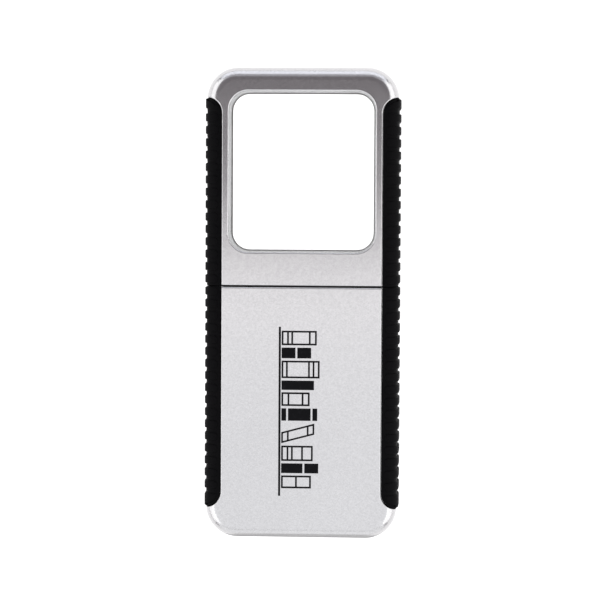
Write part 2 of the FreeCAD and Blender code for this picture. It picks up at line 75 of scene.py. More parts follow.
# ---- shader building ----------------------------------------------------------------------------
class Value:
    """A number that varies over a surface: a shader socket with the usual arithmetic."""

    def __init__(self, nodes: "Nodes", socket: bpy.types.NodeSocket) -> None:
        """Wraps one output socket of one material's nodes."""
        self.nodes = nodes
        self.socket = socket

    def _math(self, operation: str, first: "Number", second: "Number") -> "Value":
        """One Math node.

        Args:
            operation: the Math node's operation.
            first: its first operand.
            second: its second operand.

        Returns:
            The node's result.
        """
        return self.nodes.make("ShaderNodeMath", {"operation": operation}, {0: first, 1: second})

    def __add__(self, other: "Number") -> "Value":
        """self + other."""
        return self._math("ADD", self, other)

    def __radd__(self, other: "Number") -> "Value":
        """other + self."""
        return self._math("ADD", other, self)

    def __sub__(self, other: "Number") -> "Value":
        """self - other."""
        return self._math("SUBTRACT", self, other)

    def __rsub__(self, other: "Number") -> "Value":
        """other - self."""
        return self._math("SUBTRACT", other, self)

    def __mul__(self, other: "Number") -> "Value":
        """self * other."""
        return self._math("MULTIPLY", self, other)

    def __rmul__(self, other: "Number") -> "Value":
        """other * self."""
        return self._math("MULTIPLY", other, self)

    def __abs__(self) -> "Value":
        """The size of the value without its sign."""
        return self._math("ABSOLUTE", self, 0.0)

    def step(self, low: float, high: float) -> "Value":
        """A soft step.

        Args:
            low: where the result is 0.
            high: where the result is 1. It may be below low, which turns the step round.

        Returns:
            The step, from 0 to 1.
        """
        ends = (low, high, 0.0, 1.0) if high > low else (high, low, 1.0, 0.0)
        sockets = dict(enumerate((self, *ends)))
        return self.nodes.make("ShaderNodeMapRange", {"interpolation_type": "SMOOTHSTEP"}, sockets)


Number = Value | float
Sockets = Mapping[int | str, object]


class Nodes:
    """One material's node tree while it's being built."""

    def __init__(self, label: str) -> None:
        """Starts an empty material of that name."""
        self.material = bpy.data.materials.new(label)
        self.material.use_nodes = True
        self.tree = self.material.node_tree
        self.tree.nodes.clear()

    def make(
        self,
        kind: str,
        settings: Mapping[str, object],
        sockets: Sockets,
        output: int | str = 0,
    ) -> Value:
        """Any node.

        Args:
            kind: the node's type.
            settings: its properties, set first.
            sockets: input socket to a Value, a number, or a colour or vector.
            output: the output that is wanted.

        Returns:
            The wanted output.
        """
        node = self.tree.nodes.new(kind)
        for name, value in settings.items():
            setattr(node, name, value)
        for key, value in sockets.items():
            socket = node.inputs[key]
            if isinstance(value, Value):
                self.tree.links.new(value.socket, socket)
            elif socket.type == "RGBA" and len(value) == 3:
                socket.default_value = (*value, 1.0)
            else:
                socket.default_value = value
        return Value(self, node.outputs[output])

    def millimetres(self, stretch: Point3 = (1.0, 1.0, 1.0), turn: Point3 = (0.0, 0.0, 0.0)) -> Value:
        """Object coordinates in millimetres.

        Args:
            stretch: a further scale on each axis.
            turn: a turn about each axis, in radians.

        Returns:
            The coordinates.
        """
        place = self.make("ShaderNodeTexCoord", {}, {}, "Object")
        scale = tuple(share / MM for share in stretch)
        return self.make("ShaderNodeMapping", {}, {"Vector": place, "Rotation": turn, "Scale": scale})

    def axes(self) -> tuple[Value, Value, Value]:
        """X, Y and Z in millimetres, as three values."""
        node = self.make("ShaderNodeSeparateXYZ", {}, {0: self.millimetres()})
        outputs = node.socket.node.outputs
        return Value(self, outputs[0]), Value(self, outputs[1]), Value(self, outputs[2])

    def noise(self, place: Value, per_mm: float, detail: float = 2.0, roughness: float = 0.5) -> Value:
        """Soft noise.

        Args:
            place: where to read it.
            per_mm: how many features fit in a millimetre.
            detail: how many finer layers it has.
            roughness: how strong those layers are.

        Returns:
            The noise, from 0 to 1 about a middle of 0.5.
        """
        sockets = {"Vector": place, "Scale": per_mm, "Detail": detail, "Roughness": roughness}
        return self.make("ShaderNodeTexNoise", {}, sockets, "Fac")

    def grains(self, place: Value, per_mm: float) -> Value:
        """A random number for each small cell, from 0 to 1."""
        colour = self.make("ShaderNodeTexVoronoi", {}, {"Vector": place, "Scale": per_mm}, "Color")
        return self.make("ShaderNodeSeparateXYZ", {}, {0: colour})

    def mix(self, share: Number, first: object, second: object) -> Value:
        """Mixes two colours.

        Args:
            share: how much of the second is wanted.
            first: a colour or a colour Value.
            second: a colour or a colour Value.

        Returns:
            The mixed colour.
        """
        sockets = {0: share, 6: first, 7: second}
        return self.make("ShaderNodeMix", {"data_type": "RGBA"}, sockets, 2)

    def bump(self, height: Value, depth_mm: float) -> Value:
        """Relief.

        Args:
            height: the relief, from 0 to 1.
            depth_mm: how deep it is at full height.

        Returns:
            The bent normal.
        """
        sockets = {"Height": height, "Distance": depth_mm * MM, "Strength": 1.0}
        return self.make("ShaderNodeBump", {}, sockets)

    def surface(self, sockets: Sockets) -> None:
        """Ends the material with a Principled shader that has those inputs."""
        shader = self.make("ShaderNodeBsdfPrincipled", {}, sockets)
        end = self.tree.nodes.new("ShaderNodeOutputMaterial")
        self.tree.links.new(shader.socket, end.inputs["Surface"])


# ---- finishes -----------------------------------------------------------------------------------
_MATERIALS: dict[str, bpy.types.Material] = {}


@dataclass(frozen=True)
class Finish:
    """A named finish. Each kind says how its surface is painted."""

    label: str

    def material(self) -> bpy.types.Material:
        """The finish's material, built the first time that it's asked for."""
        if self.label not in _MATERIALS:
            nodes = Nodes(self.label)
            nodes.surface(self.paint(nodes))
            _MATERIALS[self.label] = nodes.material
        return _MATERIALS[self.label]

    def paint(self, nodes: Nodes) -> Sockets:
        """Builds the shader's inputs in the given nodes."""
        raise NotImplementedError


@dataclass(frozen=True)
class SilverPaint(Finish):
    """Satin silver lacquer full of fine metal flake, over grey plastic that shows inside the hollows."""

    dark: Colour = (0.50, 0.50, 0.505)
    light: Colour = (0.70, 0.70, 0.705)
    bare: Colour = (0.17, 0.17, 0.175)
    roughness: float = 0.25
    flakes_per_mm: float = 3.4

    def paint(self, nodes: Nodes) -> Sockets:
        """Builds the shader's inputs in the given nodes."""
        x, y, z = nodes.axes()
        place = nodes.millimetres()
        flake = nodes.grains(place, self.flakes_per_mm)
        grain = nodes.noise(place, self.flakes_per_mm * 0.8, 3.0, 0.6)
        cloud = nodes.noise(place, 0.06, 2.0)
        rub = nodes.noise(nodes.millimetres((1.6, 0.05, 1.0), (0.0, 0.0, 0.12)), 1.0, 3.0, 0.6)
        handled = abs(y).step(44.0, 55.5) * cloud.step(0.35, 0.65)
        # The walls inside the case, up to the lens's opening, are unpainted.
        hollow = abs(x).step(17.45, 17.25) * z.step(1.62, 1.78) * z.step(10.98, 10.8) * y.step(10.6, 10.2)
        tone = 0.5 + (flake - 0.5) * 0.32 + (grain - 0.5) * 0.5 + (cloud - 0.5) * 0.2
        paint = nodes.mix(tone, self.dark, self.light)
        colour = nodes.mix(hollow, paint, self.bare)
        roughness = self.roughness + (cloud - 0.5) * 0.06 + (grain - 0.5) * 0.06 - handled * 0.03
        roughness = roughness + rub.step(0.5, 0.9) * 0.015 + hollow * 0.15
        return {
            "Base Color": colour,
            "Metallic": 1.0 - hollow,
            "Roughness": roughness,
            "Normal": nodes.bump(grain, 0.0012),
            "Coat Weight": 0.25,
            "Coat Roughness": 0.22,
        }


@dataclass(frozen=True)
class GripRubber(Finish):
    """Black moulded rubber with a fine spark-eroded grain and a little dust in its low places."""

    black: Colour = (0.0020, 0.0019, 0.0024)
    dust: Colour = (0.009, 0.0085, 0.0085)
    roughness: float = 0.6

    def paint(self, nodes: Nodes) -> Sockets:
        """Builds the shader's inputs in the given nodes."""
        place = nodes.millimetres()
        grain = nodes.noise(place, 5.5, 2.0, 0.55)
        cloud = nodes.noise(place, 0.16, 3.0)
        wiped = cloud.step(0.42, 0.66)
        specks = nodes.noise(place, 2.6, 3.0, 0.7).step(0.66, 0.76)
        colour = nodes.mix(wiped * 0.16 + specks * 0.22, self.black, self.dust)
        return {
            "Base Color": colour,
            "Roughness": self.roughness + (grain - 0.5) * 0.2 + wiped * 0.1,
            "Normal": nodes.bump(grain, 0.010),
            "Specular IOR Level": 0.05,
        }


@dataclass(frozen=True)
class ClearPlastic(Finish):
    """Clear polished plastic with the faintest wiping marks."""

    tint: Colour = (0.985, 0.99, 0.99)
    ior: float = 1.49

    def paint(self, nodes: Nodes) -> Sockets:
        """Builds the shader's inputs in the given nodes."""
        marks = nodes.noise(nodes.millimetres((0.5, 0.06, 0.5), (0.0, 0.0, 0.5)), 1.0, 4.0, 0.6)
        return {
            "Base Color": self.tint,
            "Roughness": marks.step(0.56, 0.8) * 0.035,
            "IOR": self.ior,
            "Transmission Weight": 1.0,
        }


@dataclass(frozen=True)
class MouldedPlastic(Finish):
    """Plain moulded plastic with an even eroded texture, rubbed smoother along a slide."""

    colour: Colour = (0.014, 0.014, 0.015)
    rubbed: Colour = (0.030, 0.030, 0.032)
    roughness: float = 0.5

    def paint(self, nodes: Nodes) -> Sockets:
        """Builds the shader's inputs in the given nodes."""
        place = nodes.millimetres()
        grain = nodes.noise(place, 4.5, 3.0, 0.6)
        streak = nodes.noise(nodes.millimetres((1.3, 0.05, 1.3)), 1.0, 3.0, 0.6).step(0.52, 0.7)
        return {
            "Base Color": nodes.mix(streak * 0.7 + (grain - 0.5) * 0.3, self.colour, self.rubbed),
            "Roughness": self.roughness - streak * 0.14 + (grain - 0.5) * 0.15,
            "Normal": nodes.bump(grain, 0.012),
        }


@dataclass(frozen=True)
class BareMetal(Finish):
    """Sheet or turned metal with fine drawn lines and a few dull spots."""

    colour: Colour = (0.60, 0.60, 0.61)
    dull: Colour = (0.36, 0.35, 0.34)
    roughness: float = 0.27
    grain_stretch: Point3 = (0.12, 9.0, 9.0)

    def paint(self, nodes: Nodes) -> Sockets:
        """Builds the shader's inputs in the given nodes."""
        lines = nodes.noise(nodes.millimetres(self.grain_stretch), 1.0, 3.0, 0.65)
        spots = nodes.noise(nodes.millimetres(), 0.9, 4.0, 0.65).step(0.56, 0.74)
        return {
            "Base Color": nodes.mix(spots * 0.55 + (lines - 0.5) * 0.5, self.colour, self.dull),
            "Metallic": 1.0,
            "Roughness": self.roughness + (lines - 0.5) * 0.18 + spots * 0.14,
            "Normal": nodes.bump(lines, 0.004),
        }


@dataclass(frozen=True)
class CellSteel(Finish):
    """A coin cell's nickel-plated can, turned in fine rings about its own middle."""

    middle: Point2 = (0.0, -34.0)
    colour: Colour = (0.63, 0.63, 0.64)
    dull: Colour = (0.45, 0.44, 0.43)

    def paint(self, nodes: Nodes) -> Sockets:
        """Builds the shader's inputs in the given nodes."""
        x, y, _ = nodes.axes()
        dx, dy = x - self.middle[0], y - self.middle[1]
        square = dx * dx + dy * dy
        radius = nodes.make("ShaderNodeMath", {"operation": "SQRT"}, {0: square})
        ring_place = nodes.make("ShaderNodeCombineXYZ", {}, {0: radius * 7.0})
        rings = nodes.noise(ring_place, 1.0, 3.0, 0.7)
        spots = nodes.noise(nodes.millimetres(), 0.35, 4.0, 0.6).step(0.55, 0.75)
        return {
            "Base Color": nodes.mix(spots * 0.5 + (rings - 0.5) * 0.5, self.colour, self.dull),
            "Metallic": 1.0,
            "Roughness": 0.25 + (rings - 0.5) * 0.2 + spots * 0.12,
            "Normal": nodes.bump(rings, 0.003),
        }


@dataclass(frozen=True)
class BoardMask(Finish):
    """Green solder mask over copper tracks, on a pale glass-fibre edge."""

    mask: Colour = (0.012, 0.10, 0.035)
    track: Colour = (0.03, 0.19, 0.07)
    edge: Colour = (0.42, 0.40, 0.25)

    def paint(self, nodes: Nodes) -> Sockets:
        """Builds the shader's inputs in the given nodes."""
        x, y, z = nodes.axes()
        weave = nodes.noise(nodes.millimetres((3.0, 3.0, 0.4)), 1.0, 2.0)
        lane = abs(abs(x) - 3.2).step(0.62, 0.5) * y.step(-16.0, -15.6)
        cross = abs(y + 9.0).step(0.5, 0.4) * abs(x - 7.0).step(6.2, 6.0)
        copper = nodes.make("ShaderNodeMath", {"operation": "MAXIMUM"}, {0: lane, 1: cross})
        cut = abs(z - 5.8).step(0.36, 0.32)
        colour = nodes.mix(cut, nodes.mix(copper, self.mask, self.track), self.edge)
        return {
            "Base Color": nodes.mix((weave - 0.5) * 0.3 + 0.1, colour, (0.02, 0.05, 0.02)),
            "Roughness": 0.3 + (weave - 0.5) * 0.2 + cut * 0.35,
            "Normal": nodes.bump(copper * 0.6 + weave * 0.2, 0.03),
        }


@dataclass(frozen=True)
class BandedLacquer(Finish):
    """A resistor's tan lacquer with four painted bands round it."""

    middle_x: float = 7.0
    ground: Colour = (0.58, 0.45, 0.25)
    bands: tuple[tuple[float, Colour], ...] = (
        (-1.25, (0.16, 0.05, 0.02)),
        (-0.62, (0.01, 0.01, 0.01)),
        (-0.05, (0.01, 0.01, 0.01)),
        (1.15, (0.50, 0.36, 0.08)),
    )

    def paint(self, nodes: Nodes) -> Sockets:
        """Builds the shader's inputs in the given nodes."""
        x, _, _ = nodes.axes()
        grain = nodes.noise(nodes.millimetres(), 3.0, 3.0)
        colour = nodes.mix((grain - 0.5) * 0.5 + 0.2, self.ground, (0.40, 0.28, 0.14))
        for offset, paint in self.bands:
            band = abs(x - (self.middle_x + offset)).step(0.2, 0.16)
            colour = nodes.mix(band, colour, paint)
        return {
            "Base Color": colour,
            "Roughness": 0.35 + (grain - 0.5) * 0.2,
            "Normal": nodes.bump(grain, 0.02),
        }


@dataclass(frozen=True)
class Foam(Finish):
    """Grey closed-cell foam."""

    dark: Colour = (0.20, 0.195, 0.19)
    pale: Colour = (0.30, 0.29, 0.28)

    def paint(self, nodes: Nodes) -> Sockets:
        """Builds the shader's inputs in the given nodes."""
        cells = nodes.grains(nodes.millimetres(), 8.0)
        return {
            "Base Color": nodes.mix(cells, self.dark, self.pale),
            "Roughness": 0.8 + cells * 0.15,
            "Normal": nodes.bump(cells, 0.03),
        }


@dataclass(frozen=True)
class PadInk(Finish):
    """Black pad-printed ink, a little thin where it dried unevenly."""

    ink: Colour = (0.004, 0.004, 0.005)
    thin: Colour = (0.012, 0.012, 0.014)

    def paint(self, nodes: Nodes) -> Sockets:
        """Builds the shader's inputs in the given nodes."""
        place = nodes.millimetres()
        thin = nodes.noise(place, 1.1, 4.0, 0.65).step(0.5, 0.8)
        grain = nodes.noise(place, 5.0, 2.0)
        return {
            "Base Color": nodes.mix(thin * 0.7 + (grain - 0.5) * 0.2, self.ink, self.thin),
            "Roughness": 0.5 + thin * 0.15 + (grain - 0.5) * 0.2,
            "Normal": nodes.bump(grain, 0.004),
            "Specular IOR Level": 0.06,
        }


@dataclass(frozen=True)
class Phosphor(Finish):
    """The yellow cap over the lamp's chip."""

    pale: Colour = (0.85, 0.72, 0.18)
    deep: Colour = (0.70, 0.50, 0.06)

    def paint(self, nodes: Nodes) -> Sockets:
        """Builds the shader's inputs in the given nodes."""
        grain = nodes.noise(nodes.millimetres(), 6.0, 3.0)
        return {"Base Color": nodes.mix(grain, self.pale, self.deep), "Roughness": 0.5 + grain * 0.2}


@dataclass(frozen=True)
class PalePaper(Finish):
    """The pale matt floor that the glass lies on, with painted shade: as seen in reflections, it is greyer
    under the glass and in front of its foot.
    """

    colour: Colour = (0.90, 0.90, 0.90)
    shade: Colour = (0.87, 0.87, 0.87)
    # Painted shade: the darker grey that reflections see on the floor near the glass.
    painted_shade: Colour = (0.50, 0.50, 0.50)

    def paint(self, nodes: Nodes) -> Sockets:
        """Builds the shader's inputs in the given nodes."""
        fibre = nodes.noise(nodes.millimetres(), 0.5, 3.0)
        x, y, _ = nodes.axes()
        # Painted shade: where reflections see the floor under the glass and in front of its foot, it is
        # painted a darker grey.
        under = abs(x).step(24.0, 19.0) * y.step(57.0, 53.0)
        mirrored = nodes.make("ShaderNodeLightPath", {}, {}, "Glossy Depth").step(0.2, 0.8)
        colour = nodes.mix(mirrored * under, nodes.mix(fibre, self.colour, self.shade), self.painted_shade)
        return {"Base Color": colour, "Roughness": 0.8}


SILVER = SilverPaint("silver_paint")
RUBBER = GripRubber("ribbed_rubber")
LENS_PLASTIC = ClearPlastic("lens_plastic")
LAMP_RESIN = ClearPlastic("lamp_resin", (0.97, 0.98, 1.0), 1.52)
BLACK_PLASTIC = MouldedPlastic("moulded_black")
PLATED_SPRING = BareMetal("plated_spring", (0.72, 0.60, 0.34), (0.45, 0.34, 0.16), 0.3, (9.0, 0.12, 9.0))
ZINC = BareMetal("bright_zinc")
TIN = BareMetal("solder_tin", (0.62, 0.62, 0.63), (0.40, 0.40, 0.41), 0.3, (2.0, 2.0, 2.0))
CELL = CellSteel("ringed_steel")
GREEN_BOARD = BoardMask("board_mask")
RESISTOR_LACQUER = BandedLacquer("resistor_lacquer")
FOAM = Foam("gasket_foam")
INK = PadInk("pad_ink")
PHOSPHOR = Phosphor("lamp_phosphor")
PAPER = PalePaper("floor_paper")


# ---- meshes -------------------------------------------------------------------------------------
def mesh_from(
    name: str,
    points: Sequence[Point3],
    faces: Sequence[Sequence[int]],
    sharp_deg: float = 40.0,
) -> bpy.types.Mesh:
    """A closed mesh from points in millimetres.

    Args:
        name: the mesh's name.
        points: its points.
        faces: its faces, as indices of points.
        sharp_deg: edges that turn by more than this are kept crisp.

    Returns:
        The mesh, in metres, with doubles merged, faces outwards and smooth shading.
    """
    mesh = bpy.data.meshes.new(name)
    mesh.from_pydata([tuple(c * MM for c in p) for p in points], [], faces)
    work = bmesh.new()
    work.from_mesh(mesh)
    bmesh.ops.remove_doubles(work, verts=work.verts, dist=1e-7)
    bmesh.ops.dissolve_degenerate(work, edges=work.edges, dist=1e-8)
    bmesh.ops.recalc_face_normals(work, faces=work.faces)
    work.to_mesh(mesh)
    work.free()
    mesh.shade_smooth()
    mesh.set_sharp_from_angle(angle=math.radians(sharp_deg))
    return mesh


def ring_faces(rings: int, around: int, closed: bool = True) -> list[list[int]]:
    """Quads between rings of points.

    Args:
        rings: how many rings there are.
        around: how many points each has.
        closed: whether each ring's end joins its start.

    Returns:
        The faces.
    """
    spans = around if closed else around - 1
    faces = []
    for i in range(rings - 1):
        for j in range(spans):
            k = (j + 1) % around
            faces.append([i * around + j, i * around + k, (i + 1) * around + k, (i + 1) * around + j])
    return faces


def tube_faces(rings: int, around: int) -> list[list[int]]:
    """Quads between rings of points, and a face over each end."""
    last = (rings - 1) * around
    return ring_faces(rings, around) + [list(range(around)), list(range(last, last + around))]


def lathe(
    name: str,
    profile: Profile,
    place: Matrix,
    steps: int = 64,
    sharp_deg: float = 40.0,
) -> bpy.types.Mesh:
    """A turned form.

    Args:
        name: the mesh's name.
        profile: (radius, height) pairs from pole to pole, so the first and last radius are 0.
        place: puts the form's own Z axis where it belongs, in millimetres.
        steps: how many flats go round.
        sharp_deg: edges that turn by more than this are kept crisp.

    Returns:
        The mesh.
    """
    points = []
    for radius, height in profile:
        for step in range(steps):
            angle = 2 * math.pi * step / steps
            local = Vector((radius * math.cos(angle), radius * math.sin(angle), height))
            points.append(tuple(place @ local))
    return mesh_from(name, points, ring_faces(len(profile), steps), sharp_deg)


def round_rect(half_x: float, half_y: float, radius: float, per_corner: int, middle_y: float) -> Profile:
    """Points round a rectangle with round corners.

    Args:
        half_x: half its width.
        half_y: half its length.
        radius: its corner radius.
        per_corner: how many steps each corner has.
        middle_y: where its middle is.

    Returns:
        The points, anticlockwise. Sides of equal count let two such outlines be joined point to point.
    """
    points = []
    for quarter in range(4):
        sx, sy = ((1, 1), (-1, 1), (-1, -1), (1, -1))[quarter]
        for step in range(per_corner + 1):
            angle = math.pi / 2 * (quarter + step / per_corner)
            x = sx * (half_x - radius) + radius * math.cos(angle)
            y = middle_y + sy * (half_y - radius) + radius * math.sin(angle)
            points.append((x, y))
    return points


def rounded(radius: float, sweep: tuple[float, float], centre: Point2, steps: int) -> Profile:
    """Points along an arc.

    Args:
        radius: the arc's radius.
        sweep: its first and last angle, in degrees.
        centre: its centre.
        steps: how many steps it has.

    Returns:
        The points.
    """
    first, last = (math.radians(a) for a in sweep)
    angles = [first + (last - first) * i / steps for i in range(steps + 1)]
    return [(centre[0] + radius * math.cos(a), centre[1] + radius * math.sin(a)) for a in angles]


def piece(mesh: bpy.types.Mesh, finish: Finish, body: Body, *stands_for: str) -> bpy.types.Object:
    """Puts a finished mesh in the scene.

    Args:
        mesh: the mesh, already in place.
        finish: its finish.
        body: the body that it rides on.
        stands_for: the CAD nodes that it replaces.

    Returns:
        The object.
    """
    thing = bpy.data.objects.new(mesh.name, mesh)
    bpy.context.scene.collection.objects.link(thing)
    mesh.materials.clear()
    mesh.materials.append(finish.material())
    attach(thing, body.value)
    if stands_for:
        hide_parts(*stands_for)
    return thing


def dress(node: str, finish: Finish, slot: str) -> bpy.types.Object:
    """Gives a CAD node its finish.

    Args:
        node: the node's name.
        finish: the finish.
        slot: the record's material slot; not used.

    Returns:
        The node's object.
    """
    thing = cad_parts[node]
    thing.data.materials.clear()
    thing.data.materials.append(finish.material())
    return thing


# ---- geometry trees -----------------------------------------------------------------------------
class Repeat(Enum):
    """How a geometry tree lays out its copies."""

    ROW = "row"
    SPOTS = "spots"


class Grower:
    """A Geometry Nodes tree that lays out copies of one piece, and turns them into a plain mesh."""

    def __init__(self, layout: Repeat) -> None:
        """Builds the tree for one layout."""
        self.layout = layout
        self.tree = bpy.data.node_groups.new(f"lay_out_{layout.value}", "GeometryNodeTree")
        self._socket("Geometry", "NodeSocketGeometry", "INPUT")
        self._socket("Geometry", "NodeSocketGeometry", "OUTPUT")
        self._socket("Piece", "NodeSocketObject", "INPUT")
        self._socket("Finish", "NodeSocketMaterial", "INPUT")
        self.start = self.tree.nodes.new("NodeGroupInput")
        builders = {Repeat.ROW: self._row, Repeat.SPOTS: self._spots}
        self._finish(builders[layout]())

    def _socket(self, name: str, kind: str, way: str) -> None:
        """Adds a named socket to the tree's interface."""
        self.tree.interface.new_socket(name, in_out=way, socket_type=kind)

    def _node(
        self,
        kind: str,
        settings: Mapping[str, object],
        sockets: Mapping[str, object],
    ) -> bpy.types.Node:
        """One node.

        Args:
            kind: the node's type.
            settings: its properties.
            sockets: input name to a socket to link or a value to set.

        Returns:
            The node.
        """
        node = self.tree.nodes.new(kind)
        for name, value in settings.items():
            setattr(node, name, value)
        for name, value in sockets.items():
            if isinstance(value, bpy.types.NodeSocket):
                self.tree.links.new(value, node.inputs[name])
            else:
                node.inputs[name].default_value = value
        return node

    def _copies(self, points: bpy.types.NodeSocket, turn: bpy.types.NodeSocket | None) -> bpy.types.Node:
        """Copies of the piece on points.

        Args:
            points: where they go.
            turn: each copy's turn, or None.

        Returns:
            The node that makes them.
        """
        source = self._node("GeometryNodeObjectInfo", {}, {"Object": self.start.outputs["Piece"]})
        sockets: dict[str, object] = {"Points": points, "Instance": source.outputs["Geometry"]}
        if turn is not None:
            sockets["Rotation"] = turn
        return self._node("GeometryNodeInstanceOnPoints", {}, sockets)

    def _row(self) -> bpy.types.Node:
        """Copies in a straight row, from a start by an even step."""
        for name, kind in (("Count", "Int"), ("Start", "Vector"), ("Step", "Vector")):
            self._socket(name, f"NodeSocket{kind}", "INPUT")
        out = self.start.outputs
        sockets = {"Count": out["Count"], "Start Location": out["Start"], "Offset": out["Step"]}
        line = self._node("GeometryNodeMeshLine", {"mode": "OFFSET"}, sockets)
        return self._copies(line.outputs["Mesh"], None)

    def _spots(self) -> bpy.types.Node:
        """Copies on the host's own points, each turned about Z by a seeded amount."""
        self._socket("Seed", "NodeSocketInt", "INPUT")
        sockets = {"Seed": self.start.outputs["Seed"]}
        chance = self._node("FunctionNodeRandomValue", {"data_type": "FLOAT"}, sockets)
        whole_turn = self._node("ShaderNodeMath", {"operation": "MULTIPLY"}, {})
        whole_turn.inputs[1].default_value = 2 * math.pi
        self.tree.links.new(chance.outputs[1], whole_turn.inputs[0])
        turn = self._node("ShaderNodeCombineXYZ", {}, {"Z": whole_turn.outputs[0]})
        return self._copies(self.start.outputs["Geometry"], turn.outputs[0])

    def _finish(self, copies: bpy.types.Node) -> None:
        """Ends the tree: real copies, with their finish."""
        real = self._node("GeometryNodeRealizeInstances", {}, {"Geometry": copies.outputs[0]})
        sockets = {"Geometry": real.outputs[0], "Material": self.start.outputs["Finish"]}
        painted = self._node("GeometryNodeSetMaterial", {}, sockets)
        end = self.tree.nodes.new("NodeGroupOutput")
        self.tree.links.new(painted.outputs[0], end.inputs[0])

    def grow(
        self,
        name: str,
        copied: bpy.types.Mesh,
        finish: Finish,
        inputs: Mapping[str, object],
        spots: Sequence[Point3] = ((0.0, 0.0, 0.0),),
    ) -> bpy.types.Mesh:
        """Runs the tree.

        Args:
            name: the new mesh's name.
            copied: the piece that is copied.
            finish: the copies' finish.
            inputs: the tree's other named inputs.
            spots: the host's points, in millimetres.

        Returns:
            The copies as one plain mesh.
        """
        host_mesh = bpy.data.meshes.new(f"{name}_host")
        host_mesh.from_pydata([tuple(c * MM for c in p) for p in spots], [], [])
        host = bpy.data.objects.new(f"{name}_host", host_mesh)
        source = bpy.data.objects.new(f"{name}_source", copied)
        for thing in (host, source):
            bpy.context.scene.collection.objects.link(thing)
        modifier = host.modifiers.new("lay_out", "NODES")
        modifier.node_group = self.tree
        values = {"Piece": source, "Finish": finish.material(), **inputs}
        for item in self.tree.interface.items_tree:
            if item.in_out == "INPUT" and item.name in values:
                modifier[item.identifier] = values[item.name]
        graph = bpy.context.evaluated_depsgraph_get()
        mesh = bpy.data.meshes.new_from_object(host.evaluated_get(graph))
        mesh.name = name
        host.modifiers.clear()
        for thing in (host, source):
            bpy.data.objects.remove(thing)
        return mesh


# ---- the rubber grips ---------------------------------------------------------------------------
@dataclass(frozen=True)
class SideForm:
    """The cross-section of one long side: a face, an edge, a wall, an edge and a face."""

    half_x: float
    low: float
    high: float
    radius: float

    def points(self, start_x: float, shares: Sequence[float]) -> Profile:
        """Points (x, z) from the front face, round the side, to the back face.

        Args:
            start_x: where the path starts on the front and ends on the back.
            shares: places along the path, from 0 to 1.

        Returns:
            The points.
        """
        middle = (self.low + self.high) / 2
        front = self._front(start_x)
        path = front + [(x, 2 * middle - z) for x, z in reversed(front)]
        lengths = [math.dist(a, b) for a, b in zip(path, path[1:])]
        total = sum(lengths)
        return [self._along(path, lengths, share * total) for share in shares]

    def _front(self, start_x: float) -> Profile:
        """The front half of the path, from start_x to the wall's middle."""
        centre = (self.half_x - self.radius, self.high - self.radius)
        face = [(start_x, self.high)] if start_x <= centre[0] else []
        reach = min(1.0, max(0.0, (start_x - centre[0]) / self.radius))
        edge = rounded(self.radius, (math.degrees(math.acos(reach)), 0), centre, 24)
        return [*face, *edge, (self.half_x, (self.low + self.high) / 2)]

    @staticmethod
    def _along(path: Profile, lengths: Sequence[float], distance: float) -> Point2:
        """The point that lies a distance along a path.

        Args:
            path: the path's corners.
            lengths: the length of each stretch.
            distance: how far along.

        Returns:
            The point.
        """
        for (a, b), length in zip(zip(path, path[1:]), lengths):
            if distance <= length and length > 0:
                share = distance / length
                return (a[0] + (b[0] - a[0]) * share, a[1] + (b[1] - a[1]) * share)
            distance -= length
        return path[-1]


